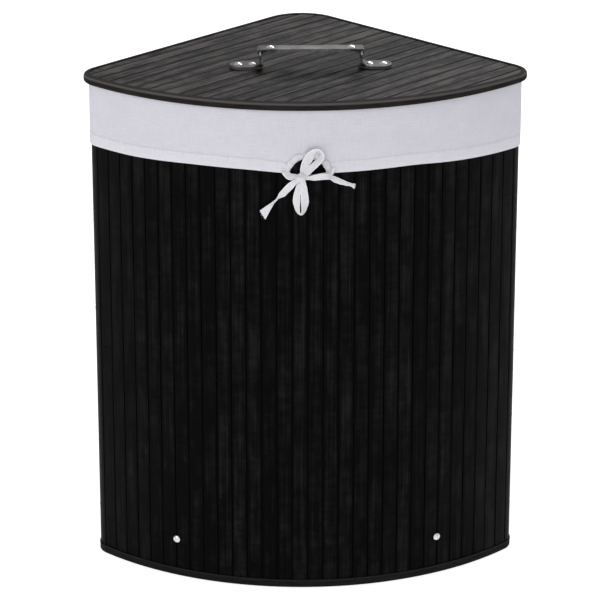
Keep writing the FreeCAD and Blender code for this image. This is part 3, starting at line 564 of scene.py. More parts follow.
# Points of each route: across the front, standing off the slats, and height, in mm.
STRING_LEFT = [(-25.4, 4.0, 519.0), (-23.6, 4.4, 515.0), (-19.6, 5.0, 512.6), (-14.0, 6.0, 512.8)]
KNOT_RIGHTWARDS = [(-7.6, 7.4, 512.8)]
TAIL_RIGHT = [
    (1.8, 9.4, 512.2), (10.0, 9.4, 513.4), (18.5, 9.2, 514.6), (25.4, 7.9, 513.2),
    (32.0, 5.8, 508.4), (40.5, 4.4, 504.2), (47.0, 3.6, 501.6), (52.6, 3.2, 499.4),
]
STRING_RIGHT = [
    (27.2, 4.2, 523.0), (26.6, 4.4, 519.2), (24.4, 4.6, 515.8), (18.6, 4.4, 514.4),
    (9.5, 4.4, 513.0), (1.5, 5.2, 512.2),
]
KNOT_LEFTWARDS = [(-6.6, 7.6, 512.6)]
TAIL_LEFT = [
    (-14.2, 8.8, 508.2), (-20.0, 6.8, 502.5), (-26.4, 5.2, 494.6), (-33.0, 4.2, 486.9),
    (-39.6, 3.8, 480.2), (-45.6, 3.6, 473.6), (-51.2, 3.4, 466.0),
]
LOOP_LOW = [
    (-8.8, 6.4, 510.5), (-9.6, 5.8, 504.5), (-11.4, 5.4, 496.5), (-12.9, 5.0, 488.5),
    (-13.0, 4.3, 480.0), (-12.2, 4.0, 473.4), (-10.8, 3.9, 468.6), (-8.0, 4.1, 466.6),
    (-5.3, 4.6, 468.6), (-4.0, 5.1, 473.6), (-3.4, 5.6, 480.6), (-3.7, 6.1, 489.0),
    (-4.6, 6.9, 497.0), (-5.2, 7.6, 504.5), (-5.6, 7.8, 510.5),
]
LOOP_HIGH = [
    (-6.8, 7.4, 515.0), (-5.0, 7.2, 520.5), (-3.2, 6.4, 527.4), (0.4, 5.6, 534.6),
    (4.6, 5.2, 540.6), (8.6, 5.2, 543.6), (12.2, 5.4, 543.7), (15.2, 5.8, 541.6),
    (16.4, 6.4, 537.8), (14.0, 7.0, 533.9), (9.0, 7.6, 529.0), (3.8, 8.2, 524.0),
    (-0.6, 8.4, 518.8), (-4.6, 7.8, 514.2),
]
TAPE_WIDE = 8.0
KNOT_CENTRE = (-7.3, 7.2, 512.7)
FRAYED_THREADS = 26
FORWARD = np.array([0.0, -1.0, 0.0])


def unit(vectors):
    """The vectors at length 1."""
    return vectors / np.linalg.norm(vectors, axis=-1, keepdims=True)


def spline_points(name, route):
    """Points of the smooth line through a route, read from its NURBS spline."""
    line = bpy.data.curves.new(name, "CURVE")
    line.dimensions = "3D"
    line.resolution_u = 12
    spline = line.splines.new("NURBS")
    spline.points.add(len(route) - 1)
    for point, place in zip(spline.points, route):
        point.co = (*in_front(*place), 1.0)
    spline.order_u = 3
    spline.use_endpoint_u = True
    holder = bpy.data.objects.new(name, line)
    bpy.context.scene.collection.objects.link(holder)
    bpy.context.view_layer.update()
    mesh = bpy.data.meshes.new_from_object(holder)
    points = np.array([v.co for v in mesh.vertices])
    bpy.data.objects.remove(holder)
    bpy.data.curves.remove(line)
    return points


# Half of the tape's section: places across it, and its half thickness in mm there.
TAPE_ACROSS = (-1.0, -0.97, -0.86, -0.7, -0.45, -0.2, 0.0, 0.2, 0.45, 0.7, 0.86, 0.97, 1.0)
TAPE_THICK = (0.12, 0.4, 0.52, 0.34, 0.26, 0.24, 0.24, 0.24, 0.26, 0.34, 0.52, 0.4, 0.12)


def tape_mesh(points, keys, seed, slant):
    """A flat woven tape along a line. keys are (share of length, width mm, tilt, curl mm).

    slant is how far in mm one corner of its cut end stands ahead of the middle.
    """
    gaps = np.linalg.norm(np.diff(points, axis=0), axis=1)
    along = np.concatenate([[0.0], np.cumsum(gaps)])[:, None] / MM
    share = along / along[-1]
    keys = np.array(keys, float)
    width, tilt, curl = (np.interp(share, keys[:, 0], keys[:, k]) for k in (1, 2, 3))
    heading = unit(np.gradient(points, axis=0))
    facing = unit(FORWARD + heading * heading[:, 1:2])
    sideways = np.cross(heading, facing)
    turn = np.radians(tilt)
    face = facing * np.cos(turn) + sideways * np.sin(turn)
    edge = sideways * np.cos(turn) - facing * np.sin(turn)
    across, thick = np.array(TAPE_ACROSS), np.array(TAPE_THICK)
    u = np.concatenate([across, across[-2:0:-1]])
    h = np.concatenate([thick, -thick[-2:0:-1]])
    wrinkle = ripples(along, u * 4.0, seed, 11.0, 6.0) * 0.28
    drop = -curl * u ** 2 + wrinkle + h
    reach = u * width / 2 + waves(along, seed + 1, 9.0) * 0.12 * np.abs(u)
    ahead = np.clip((share - 0.9) / 0.1, 0, 1) ** 2 * u * slant
    cloth = points[:, None, :] + edge[:, None, :] * reach[..., None] * MM
    cloth = cloth + face[:, None, :] * drop[..., None] * MM
    cloth = cloth + heading[:, None, :] * ahead[..., None] * MM
    # Painted highlight along both edges of the tape.
    edge_highlight = (np.abs(u) > 0.8).astype(float)
    return Builder().tube(cloth, grain_of(u * TAPE_WIDE / 2, along, seed * 10.0), edge_highlight)


def frayed(builder, points, width, slant, seed):
    """Short loose fibres at the cut end of a tape."""
    draw = np.random.default_rng(seed)
    end = points[-1]
    ahead = unit(end - points[-4])
    sideways = unit(np.cross(ahead, FORWARD))
    angles = np.arange(4) * TAU / 4
    size = np.array([0.1, 0.08, 0.03])[:, None] * MM
    for _ in range(FRAYED_THREADS):
        across = draw.uniform(-0.96, 0.96)
        root = end + (sideways * across * width / 2 + ahead * across * slant) * MM
        way = ahead + sideways * draw.normal(0, 0.25) + FORWARD * draw.normal(0, 0.2)
        way = way * draw.uniform(0.6, 1.9) * MM
        bend = sideways * draw.normal(0, 0.25) * MM
        line = np.array([root - ahead * 0.4 * MM, root + way * 0.5 + bend * 0.3, root + way + bend])
        ring = line[:, None, :] + (np.cos(angles) * size)[..., None] * sideways
        builder.tube(ring + (np.sin(angles) * size)[..., None] * FORWARD, np.zeros(3))


def string_piece(name, nodes, seed, route, keys, cut=None):
    """One visible string; cut is the width and the slant of its cut end, if it shows."""
    path = spline_points(name + "_line", route)
    slant = cut[1] if cut else 0.0
    builder = tape_mesh(path, keys, seed, slant)
    if cut:
        frayed(builder, path, cut[0], slant, seed + 5)
    piece = builder.make(name, "basket", TAPE, "string_cotton", sharp=75)
    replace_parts(piece, *nodes)
    float(np.linalg.norm(np.diff(path, axis=0), axis=1).sum())


def knot_mesh(name):
    """The knot: a pleated core with the tape wound once across it."""
    builder = Builder()
    centre = np.array(in_front(*KNOT_CENTRE))
    polar = np.linspace(0.02, math.pi - 0.02, 30)
    turn = np.linspace(0, TAU, 48, endpoint=False)
    p, t = np.meshgrid(polar, turn, indexing="ij")
    pleat = 1.0 + 0.07 * np.sin(9 * t + 2.5 * np.cos(p)) * np.sin(p) + 0.04 * np.sin(17 * t + 1.3)
    x = 5.0 * np.sin(p) * np.cos(t) * pleat
    y = 3.9 * np.sin(p) * np.sin(t) * pleat
    z = 5.6 * np.cos(p) * (1.0 + 0.03 * np.sin(5 * t))
    builder.tube(centre + np.stack([x, y, z], -1) * MM, grain_of(t * 5.0, p * 6.0))
    around = np.linspace(0, TAU, 56, endpoint=False)
    across = np.array([-1.0, -0.9, -0.7, -0.35, 0.0, 0.35, 0.7, 0.9, 1.0, 0.9, 0.5, -0.5, -0.9])
    stand = np.array([0.1, 0.65, 0.85, 0.62, 0.5, 0.62, 0.85, 0.65, 0.1, -0.3, -0.3, -0.3, -0.3])
    a, u = np.meshgrid(around, across, indexing="ij")
    out = stand + 0.12 * np.sin(7 * a + 3 * u)
    wide = 3.1 + 0.5 * np.sin(a - 0.6)
    belly = np.sqrt(np.clip(1.0 - (u * wide / 5.9) ** 2, 0, 1))
    x = (4.9 * belly + out) * np.cos(a)
    y = (3.9 * belly + out) * np.sin(a)
    z = u * wide + 0.5 * np.sin(2 * a)
    lean = math.radians(24.0)
    cos, sin = math.cos(lean), math.sin(lean)
    wrap = np.stack([x * cos - z * sin, y, x * sin + z * cos], -1)
    builder.grid(centre + wrap * MM, grain_of(u * 4.0, a * 5.0), closed=(True, True))
    return builder.make(name, "basket", TAPE, "string_cotton")


knot = knot_mesh("knot")
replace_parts(knot, "bow_knot")
string_piece(
    "string_left_to_right", ("string_left", "tail_right"), 11,
    STRING_LEFT + KNOT_RIGHTWARDS + TAIL_RIGHT,
    [
        (0.0, 8.0, -30, 1.2), (0.08, 8.0, -25, 1.0), (0.2, 6.4, -15, 1.0), (0.27, 3.6, 0, 0.6),
        (0.36, 4.8, 0, 0.8), (0.43, 7.6, 10, 0.5), (0.55, 7.6, 8, -0.4), (0.64, 5.6, -38, 0.6),
        (0.72, 6.8, -20, 0.5), (0.82, 6.0, -8, 0.8), (0.93, 4.2, 5, 0.9), (0.965, 3.9, 0, 0.8),
        (1.0, 6.2, 0, 0.2),
    ],
    cut=(6.0, 0.8),
)
string_piece(
    "string_right_to_left", ("string_right", "tail_left"), 23,
    STRING_RIGHT + KNOT_LEFTWARDS + TAIL_LEFT,
    [
        (0.0, 5.0, 60, 1.2), (0.06, 6.0, 40, 1.0), (0.14, 5.2, 20, 1.0), (0.3, 5.4, 10, 0.8),
        (0.37, 3.8, 0, 0.8), (0.45, 5.2, 0, 0.8), (0.54, 8.6, -6, 0.3), (0.68, 7.8, -8, 0.4),
        (0.75, 3.4, -58, 0.5), (0.8, 3.8, -50, 0.4), (0.88, 6.6, -20, 0.3), (0.95, 9.2, 0, 0.4),
        (1.0, 11.6, 0, 0.2),
    ],
    cut=(10.5, -2.6),
)
string_piece(
    "bow_loop_low", ("loop_low",), 37, LOOP_LOW,
    [
        (0.0, 4.4, 6, 0.6), (0.12, 6.6, 8, 0.6), (0.3, 8.8, 10, 0.6), (0.42, 7.0, 44, 0.5),
        (0.5, 6.2, 68, 0.4), (0.58, 7.0, 44, 0.5), (0.7, 9.2, 4, 0.4), (0.88, 7.8, 0, 0.5),
        (1.0, 4.6, 0, 0.6),
    ],
)
string_piece(
    "bow_loop_high", ("loop_high",), 41, LOOP_HIGH,
    [
        (0.0, 4.4, 0, 0.6), (0.1, 9.0, 0, 0.4), (0.3, 10.4, 4, 0.4), (0.42, 7.8, 34, 0.5),
        (0.52, 6.0, 60, 0.4), (0.62, 7.0, 50, 0.4), (0.76, 7.6, 22, 0.5), (0.9, 6.6, 14, 0.6),
        (1.0, 4.2, 0, 0.6),
    ],
)

# ---------------------------------------------------------------- slats

BEVEL = 0.42


def slat_profile(width, crown):
    """Across and depth of a slat's section, from one back edge over the face to the other."""
    edge = 0.29 * BEVEL
    return np.array(
        [
            (0.0, SLAT_THICK), (0.0, BEVEL), (edge, edge), (BEVEL, 0.0), (1.4, -crown * 0.4),
            (width * 0.25, -crown), (width * 0.5, -crown * 1.3), (width * 0.75, -crown),
            (width - 1.4, -crown * 0.4), (width - BEVEL, 0.0), (width - edge, edge),
            (width, BEVEL), (width, SLAT_THICK),
        ]
    )


# Painted shade: each slat is darker along its edges, where the gaps between slats fall into shade;
# one value for each point above.
GAP_SHADE = np.array([1.0, 1.0, 1.0, 0.9, 0.3, 0.0, 0.0, 0.0, 0.3, 0.9, 1.0, 1.0, 1.0])
STREAKY_SHARE = 0.4
# Each slat takes its grain from another depth of the texture, up to this many mm.
GRAIN_SEEDS = 9000


def ring_places(draw, low, high):
    """Where the raised rings of the cane lie along a slat."""
    rings = []
    place = low + draw.uniform(20, 300)
    while place < high - 12:
        rings.append(place)
        place += draw.uniform(190, 330)
    return rings


def slat_rows(rings):
    """Rows up a wall slat, closer together at its rings."""
    rows = set(np.linspace(SLAT_LOW, SLAT_HIGH, SLAT_ROWS).tolist())
    for place in rings:
        rows |= {place + shift for shift in (-5.0, -2.6, -1.2, 0.0, 1.2, 2.6, 5.0)}
    return np.array(sorted(rows))


def ring_rise(rows, rings):
    """How far a slat's face rises at each ring, with a shallow dip beside it."""
    rise = np.zeros_like(rows)
    for place in rings:
        rise += 0.22 * np.exp(-(((rows - place) / 1.5) ** 2))
        rise -= 0.12 * np.exp(-(((rows - place - 2.6) / 1.2) ** 2))
    return rise


def wall_slats(name, node, spans, seed):
    """Upright slats on the given spans of the outline."""
    builder = Builder()
    draw = np.random.default_rng(seed)
    for number, (first, last) in enumerate(spans):
        rings = ring_places(draw, SLAT_LOW, SLAT_HIGH)
        rows = slat_rows(rings)[:, None]
        across, depth = slat_profile(last - first, draw.uniform(0.0, 0.1)).T
        key = seed * 100 + number
        shift = waves(rows, key, 330.0) * 0.13
        sink = np.abs(waves(rows, key + 50, 480.0)) * 0.16
        tilt = (across / (last - first) - 0.5) * draw.normal(0.0, 0.1)
        out = -depth - sink + tilt + ring_rise(rows, rings)
        points = spots(first + (across + shift), out, rows)
        tone = np.clip(draw.normal(0.36, 0.11), 0.1, 0.7)
        streaky = (draw.random() < STREAKY_SHARE) * draw.uniform(0.5, 1.0)
        grain = grain_of(across, rows, draw.uniform(0, GRAIN_SEEDS))
        # Painted shade darkens the slat's tone along its edges, at the gaps.
        builder.tube(points, grain, tone - 0.9 * GAP_SHADE, streaky)
    thing = builder.make(name, "basket", BAMBOO, "bamboo", sharp=40)
    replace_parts(thing, node)


def spans_between(start, length, count):
    """Where each of count slats starts and ends, with a gap between them."""
    pitch = length / count
    half = SLAT_GAP / 2
    return [(start + pitch * k + half, start + pitch * (k + 1) - half) for k in range(count)]


# How many slats each stretch of the wall has, from the right front corner round the back.
SLATS_ROUND_THE_BACK = (2, 17, 4, 17, 2)
right_corner, right_wall, back_corner, left_wall, left_corner = (
    spans_between(start, length, count)
    for start, length, count in zip(STARTS[1:], LENGTHS[1:], SLATS_ROUND_THE_BACK)
)
front = spans_between(-FRONT_HALF, 2 * FRONT_HALF, 30)
wall_slats("curved_front_slats", "front_slats", front, 3)
wall_slats("right_slats", "right_wall_slats", right_wall, 4)
wall_slats("left_slats", "left_wall_slats", left_wall, 5)
wall_slats("front_edge_slats", "front_corner_slats", right_corner + left_corner, 6)
wall_slats("back_edge_slats", "back_corner_slats", back_corner, 7)

LID_SLAT_FACE = 599.2
LID_SLAT_PITCH = 18.0
LID_SLAT_COUNT = 21
LID_SLAT_SHORTEST = 12.0
LID_SLAT_ROWS = 92
LID_INSIDE = 5.2
LID_BOARD_OFFSET = 6.6
# One slat is much paler than the others, and those about another one are darker: partly their own
# tone, partly painted shade for the handle's shadow.
LIGHT_SLAT = 7
DARK_AND_SHADED_SLAT = 12


def lid_chords(across):
    """Ends of the lid's slats, measured along them, at distances across them."""
    ring = spots(np.linspace(0, AROUND, 2400, endpoint=False), LID_INSIDE, 0.0) / MM
    over = (ring[:, 0] - ring[:, 1]) / ROOT_TWO
    ahead = (ring[:, 0] + ring[:, 1]) / ROOT_TWO
    over_next, ahead_next = np.roll(over, -1), np.roll(ahead, -1)
    low, high = [], []
    for value in across:
        value = min(max(value, over.min() + 0.05), over.max() - 0.05)
        hit = (over - value) * (over_next - value) <= 0
        share = (value - over[hit]) / (over_next[hit] - over[hit] + 1e-12)
        meet = ahead[hit] + share * (ahead_next[hit] - ahead[hit])
        low.append(meet.min())
        high.append(meet.max())
    return np.array(low), np.array(high)


def lid_slat_mesh(name):
    """Straight slats side by side over the lid, all parallel to its left back edge."""
    builder = Builder()
    draw = np.random.default_rng(15)
    edge = APEX_Y / ROOT_TWO + LID_BOARD_OFFSET
    for number in range(LID_SLAT_COUNT):
        across, depth = slat_profile(LID_SLAT_PITCH - SLAT_GAP, draw.uniform(0.0, 0.08)).T
        over = LID_SLAT_PITCH * number - edge + across
        low, high = lid_chords(over)
        if (high - low).max() < LID_SLAT_SHORTEST:
            continue
        ahead = low + (high - low) * np.linspace(0, 1, LID_SLAT_ROWS)[:, None]
        rise = ring_rise(ahead, ring_places(draw, low.min(), high.max()))
        key = 900 + number
        over = over + waves(ahead, key, 300.0) * 0.12
        sink = np.abs(waves(ahead, key + 40, 420.0)) * 0.14
        tilt = (across / LID_SLAT_PITCH - 0.5) * draw.normal(0.0, 0.1)
        height = LID_SLAT_FACE - depth - sink + rise + tilt
        points = np.stack([(over + ahead) / ROOT_TWO, (ahead - over) / ROOT_TWO, height], -1)
        # Slats about the handle are darkened: partly their own tone, partly painted shade for the
        # handle's shadow.
        dark_and_shaded = 0.33 * math.exp(-(((number - DARK_AND_SHADED_SLAT) / 4.0) ** 2))
        tone = np.clip(draw.normal(0.46 - dark_and_shaded, 0.17), 0.05, 0.85)
        if number == LIGHT_SLAT:
            tone = 1.1
        streaky = draw.uniform(0.4, 1.0)
        grain = grain_of(across, ahead, draw.uniform(0, GRAIN_SEEDS))
        # Painted shade darkens the slat's tone along its edges, at the gaps.
        builder.tube(points * MM, grain, tone - 1.4 * GAP_SHADE, streaky)
    thing = builder.make(name, "lid", LID_BAMBOO_WITH_REFLECTION, "lid_bamboo", sharp=40, flip=True)
    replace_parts(thing, "lid_slats")


lid_slat_mesh("lid_top_slats")

# ---------------------------------------------------------------- ribbons

ALL_ROUND = stations(0.0, AROUND, 5.0)[:-1]
LID_STITCH_PITCH = 4.0
LID_SEAM_OFFSET = 2.2
FOOT_STITCH_PITCH = 3.6
FOOT_SEAM_Z = 8.6
CASING_STITCH_PITCH = 3.2

lid_edge = Builder()
lid_profile = folded(LID_OFFSET, LID_LOW, LID_HIGH, 6.8, 0.7, 2.8, 3.6)
lid_sway = waves(ALL_ROUND, 61, 140.0) * 0.12
# Painted highlight: the ribbon is made pale over its upper bend, where it faces the light, and less
# on its flat upper leg.
across, up = np.array(lid_profile).T
bend_highlight = np.clip(up - 596.7, 0, 1) * np.clip((across - 0.8) / 2.2, 0, 1)
bend_highlight = bend_highlight * np.where(up > 599.2, 0.3, 1.0)
swept(lid_edge, lid_profile, ALL_ROUND, lid_sway, bend_highlight)
lid_edge_piece = lid_edge.make("lid_edge_ribbon", "lid", LID_RIBBON, "ribbon", sharp=50)
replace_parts(lid_edge_piece, "lid_binding")

lid_seam = stitches(
    np.arange(0, AROUND, LID_STITCH_PITCH), LID_SEAM_OFFSET, LID_HIGH + 0.02, 2.9, 0.42
)
lid_seam.make("lid_edge_stitches", "lid", DARK_THREAD, "ribbon")


# The ribbon folded under the slats' lower ends, with rounded folds and a raised selvedge.
FOOT_PROFILE = [
    (-3.0, 10.0), (-3.0, 1.2), (-2.6, 0.75), (-0.2, 0.75), (0.2, 1.2), (0.2, 10.0),
    (0.5, 10.05), (0.95, 9.9), (1.05, 9.4), (0.95, 8.9), (0.8, 8.6), (0.95, 8.3), (1.05, 7.9),
    (0.95, 7.4), (0.9, 6.8), (0.9, 1.6), (0.75, 0.7), (0.3, 0.15), (-0.3, 0.0), (-2.9, 0.0),
    (-3.5, 0.4), (-3.7, 1.2), (-3.7, 9.9), (-3.4, 10.05),
][::-1]
foot = Builder()
foot_tone = [0.9 if 7.6 < z < 9.6 and x > 0.85 else 0.0 for x, z in FOOT_PROFILE]
swept(foot, FOOT_PROFILE, ALL_ROUND, waves(ALL_ROUND, 62, 120.0) * 0.06, foot_tone)
foot_piece = foot.make("foot_ribbon", "basket", RIBBON, "ribbon", sharp=60)
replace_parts(foot_piece, "bottom_binding")
foot_seam = stitches(np.arange(0, AROUND, FOOT_STITCH_PITCH), 0.92, FOOT_SEAM_Z, 2.6, 0.4)
foot_seam.make("foot_stitches", "basket", DARK_THREAD, "ribbon")

# ---------------------------------------------------------------- liner

# How far the hem hangs above or below its level: run along it from the front's middle, and rise.
HEM_KEYS = np.array(
    [(-420, 0.0), (-215, 0.0), (-136, 3.0), (-60, 2.0), (-30, 0.0), (40, -0.5), (125, 1.7),
     (170, -1.6), (225, -3.9), (290, -5.4), (420, 0.0)]
)


def from_middle(run):
    """The run measured either way from the middle of the front."""
    return (run + AROUND / 2) % AROUND - AROUND / 2


def hem_level(run):
    """Height of the cuff's lower edge without the notch."""
    near = [from_middle(run + shift) for shift in (-16, -8, 0, 8, 16)]
    rises = [np.interp(place, HEM_KEYS[:, 0], HEM_KEYS[:, 1]) for place in near]
    return CUFF_LOW + waves(run, 71, 210.0) * 0.35 + sum(rises) / len(rises)


def hem_height(run):
    """Height of the cuff's lower edge, with the round notch at the front."""
    x = from_middle(run)
    notch = np.sqrt(np.clip(KEYHOLE_RADIUS ** 2 - x * x, 0, None)) + KEYHOLE_Z
    return np.maximum(hem_level(run), np.where(np.abs(x) < KEYHOLE_RADIUS, notch, 0.0))


def notch_distance(run, z):
    """Distance in mm from the edge of the notch, outwards."""
    x = from_middle(run)
    return np.hypot(x, z - KEYHOLE_Z) - KEYHOLE_RADIUS, np.arctan2(z - KEYHOLE_Z, x)


def cuff_shape(run, z):
    """Offset of the cuff's cloth: a slight belly, broad waves, and puckers near the drawstring."""
    up = np.clip((z - CUFF_LOW) / (RIM_Z - CUFF_LOW), 0, 1)
    belly = 0.3 * np.sin(math.pi * up)
    broad = ripples(run, z, 81, 150.0, 120.0) * 0.35 * np.sin(math.pi * np.clip(up, 0.02, 1))
    seam_gap = z - (CUFF_LOW + CASING_WIDE)
    puckers = waves(run, 82, 11.0) * np.exp(-np.abs(seam_gap) / 7.0) * 0.22
    gap, angle = notch_distance(run, z)
    rays = waves(np.degrees(angle) + 200.0, 83, 24.0) * np.exp(-np.clip(gap, 0, None) / 9.0)
    return CUFF_OFFSET + belly + broad + puckers + rays * 0.7


def fold_depth(run, z):
    """How far the hanging bag falls in from the wall."""
    down = np.clip((RIM_Z - 12.0 - z) / 240.0, 0, 1) ** 0.8
    upright = np.abs(waves(run + 0.06 * z, 91, 170.0)) * 5.0
    slanted = np.abs(ripples(run, z, 92, 190.0, 420.0)) * 4.0
    small = (ripples(run, z, 93, 46.0, 120.0) + 1.0) * 0.8
    return (0.3 + upright + slanted + small) * down


def liner_grid(runs, hem):
    """Points of the cloth: up the cuff, over the rim, down the inside and across the floor."""
    rows = []
    for share in np.linspace(0, 1, 34) ** 0.9:
        z = hem + (RIM_Z - 1.0 - hem) * share
        rows.append((cuff_shape(runs, z) * (1 - share ** 6) + CUFF_OFFSET * share ** 6, z))
    for angle in np.radians([30.0, 60.0, 90.0]):
        rows.append((CUFF_OFFSET - 1.0 + np.cos(angle), RIM_Z - 1.0 + np.sin(angle)))
    for share in (0.35, 0.7):
        rows.append((CUFF_OFFSET - 1.0 + (BAG_OFFSET - CUFF_OFFSET + 2.0) * share, RIM_Z))
    for angle in np.radians([90.0, 120.0, 150.0, 180.0]):
        rows.append((BAG_OFFSET + 1.0 + np.cos(angle), RIM_Z - 1.0 + np.sin(angle)))
    low = BAG_FLOOR_Z + BAG_TURN
    for z in np.linspace(RIM_Z - 2.5, low, 62):
        rows.append((BAG_OFFSET - fold_depth(runs, z), z))
    foot_offset = BAG_OFFSET - fold_depth(runs, low) - BAG_TURN
    for angle in np.radians([20.0, 40.0, 60.0, 80.0]):
        rows.append((foot_offset + BAG_TURN * np.cos(angle), low - BAG_TURN * np.sin(angle)))
    rings = [spots(runs, offset, z) for offset, z in rows]
    rim = rings[-1]
    centre = np.array([0.0, BAG_MIDDLE_Y, BAG_FLOOR_Z]) * MM
    for share in np.linspace(0, 1, 15)[1:-1]:
        ring = rim + (centre - rim) * share
        lift = (ripples(ring[:, 0] / MM, ring[:, 1] / MM, 95, 90.0, 110.0) + 1.0) * 1.6
        ring[:, 2] = (BAG_FLOOR_Z + 0.2 + lift * min(1.0, share * 4)) * MM
        rings.append(ring)
    middle = rings[-1].mean(0)
    rings.append(middle + (rings[-1] - middle) * 0.02)
    return np.stack(rings)


def liner_mesh():
    """The liner as one cloth, and its flat area."""
    near_notch = np.arange(1, 40, 1.0)
    runs = [stations(0.0, AROUND, 4.0)[:-1], near_notch, AROUND - near_notch]
    runs = np.unique(np.concatenate(runs))
    hem = hem_height(runs)
    points = liner_grid(runs, hem)
    steps = np.linalg.norm(np.diff(points, axis=0), axis=2)
    travelled = np.concatenate([np.zeros_like(runs)[None, :], np.cumsum(steps / MM, axis=0)])
    builder = Builder()
    builder.grid(points, grain_of(runs, travelled + hem), closed=(False, True))
    thing = builder.make("liner", "basket", COTTON, "cotton", flip=True)
    skin = thing.modifiers.new("cloth", "SOLIDIFY")
    skin.thickness = 0.45 * MM
    skin.offset = 0.0
    turns = np.linalg.norm(np.roll(points, -1, axis=1) - points, axis=2)
    area = float((steps * (turns[:-1] + turns[1:]) / 2).sum())
    return thing, area


liner, liner_area = liner_mesh()
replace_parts(liner, "liner_bag")


def casing_mesh():
    """The drawstring channel: a flat tube of cloth round the cuff's lower edge, open in front."""
    first, last = CASING_OPEN_RIGHT, AROUND - CASING_OPEN_LEFT
    ends = np.arange(0, 24, 0.8)
    runs = np.concatenate([stations(first, last, 3.0), first + ends, last - ends])
    runs = np.unique(runs)[:, None]
    cinch = np.exp(-np.minimum(runs - first, last - runs) / 7.0)
    hem = hem_level(runs)
    low = hem - 0.2 - 0.6 * cinch
    high = hem + CASING_WIDE + waves(runs, 102, 34.0) * 0.35 - 1.6 * cinch
    share = np.array([0.0, 0.03, 0.1, 0.22, 0.36, 0.5, 0.64, 0.78, 0.9, 0.97, 1.0])
    swell = np.array([0.1, 0.2, 0.3, 0.38, 0.42, 0.42, 0.4, 0.34, 0.26, 0.16, 0.0])
    wrinkle = waves(runs, 103, 9.0) * (0.1 + 0.22 * share ** 2)
    slow = waves(runs, 104, 60.0) * 0.16
    creases = waves(runs, 105, 5.0) * cinch * 0.5
    bulge = swell * (1.0 + 1.2 * cinch)
    fade = np.sin(math.pi * np.clip(share, 0.04, 0.98))
    outer = CUFF_OFFSET + 0.25 + bulge + (wrinkle + slow + creases) * (0.35 + 0.65 * fade)
    inner_share = np.clip(share[::-2], 0.03, 0.97)
    inner = np.full((len(runs), len(inner_share)), CUFF_OFFSET + 0.1)
    offset = np.concatenate([outer, inner], 1)
    z = low + (high - low) * np.concatenate([share, inner_share])
    builder = Builder().tube(spots(runs, offset, z), grain_of(runs, z))
    casing = builder.make("casing", "basket", CASING, "cotton", sharp=80)
    return casing, runs[:, 0], high[:, 0]


casing, casing_runs, casing_tops = casing_mesh()
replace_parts(casing, "cuff_casing", "drawstring_run")

stitch_runs = np.arange(
    CASING_OPEN_RIGHT + 3, AROUND - CASING_OPEN_LEFT - 3, CASING_STITCH_PITCH
)
stitch_z = np.interp(stitch_runs, casing_runs, casing_tops) - 0.9
seam = stitches(stitch_runs, CUFF_OFFSET + 0.9, stitch_z, 2.3, 0.34)
casing_seam = seam.make("casing_stitches", "basket", THREAD, "cotton")


def notch_hem():
    """The rolled hem round the notch, gathered where it meets the casing's ends."""
    angles = np.radians(np.linspace(4.0, 176.0, 120))[:, None]
    arc = KEYHOLE_RADIUS * angles
    swell = 1.0 + 0.15 * (np.exp(-(angles / 0.3)) + np.exp(-((math.pi - angles) / 0.3)))
    wobble = waves(arc, 111, 7.0) * 0.4
    around = np.linspace(0, TAU, 14, endpoint=False)
    wide = 3.7 * swell + wobble
    thick = 0.95 * swell + waves(arc, 112, 5.0) * 0.35
    reach = KEYHOLE_RADIUS + 3.8 + waves(arc, 113, 13.0) * 0.6
    radial = reach + wide * np.cos(around)
    out = CUFF_OFFSET + 0.8 + thick * np.sin(around)
    z = KEYHOLE_Z + 0.4 + radial * np.sin(angles)
    points = spots(radial * np.cos(angles), out, z)
    builder = Builder().tube(points, grain_of(wide * around, arc))
    return builder.make("notch_hem", "basket", CASING, "cotton", flip=True)


hem_piece = notch_hem()

# ---------------------------------------------------------------- leather handle

LEATHER_THICK = 1.8
SOFT_EDGE = 0.55
EYE = 2.5
TAB_LOW = 600.15
TAB_HIGH = 601.95
TAB_ROUND_X = 80.8
TAB_HALF = 13.0
TAB_NECK_HALF = 9.0


def strip_section(thick):
    """A leather strip's section: share of its half width, push past that, and height."""
    half = thick / 2
    edge = SOFT_EDGE
    bend = [(edge * 0.5, half - 0.08), (edge * 0.9, half - 0.35), (edge, 0.0)]
    bend += [(push, -height) for push, height in bend[1::-1]]
    section = []
    for side in (1.0, -1.0):
        section += [(share * side, 0.0, half * side) for share in (-1.0, -0.6, 0.0, 0.6, 1.0)]
        section += [(side, push * side, height * side) for push, height in bend]
    return np.array(section).T


def leather_strip(line, half_width, seed, shade=None):
    """A strip of leather along a line in x and z, centred on the handle's y, with soft edges."""
    line = np.array(line, float)
    heading = unit(np.gradient(line, axis=0))
    normal = np.stack([-heading[:, 1], heading[:, 0]], -1)
    u, push, height = strip_section(LEATHER_THICK)
    width = np.array([[half_width(abs(x))] for x, _ in line])
    gaps = np.linalg.norm(np.diff(line, axis=0), axis=1)
    along = np.concatenate([[0.0], np.cumsum(gaps)])[:, None]
    across = np.clip(width - SOFT_EDGE, 0.05, None) * u
    across = across + np.minimum(width, SOFT_EDGE) / SOFT_EDGE * push
    across = across + waves(along, seed, 26.0) * 0.1 * np.sign(u)
    lift = height + 0.08 * waves(along, seed + 1, 15.0)
    x = line[:, 0:1] + normal[:, 0:1] * lift
    z = line[:, 1:2] + normal[:, 1:2] * lift
    points = np.stack([HANDLE_X + x, HANDLE_Y + across, z], -1) * MM
    tone = (np.abs(push) > 0.2) * 0.55
    if shade:
        tone = tone * 0.3 + shade(line[:, 0:1])
    return Builder().tube(points, grain_of(along, across), tone)


def around_ring(x, z, first, last, count):
    """Points of a strip's bend round a ring's bar."""
    angles = np.radians(np.linspace(first, last, count))
    return [(x + EYE * math.cos(a), z + EYE * math.sin(a)) for a in angles]


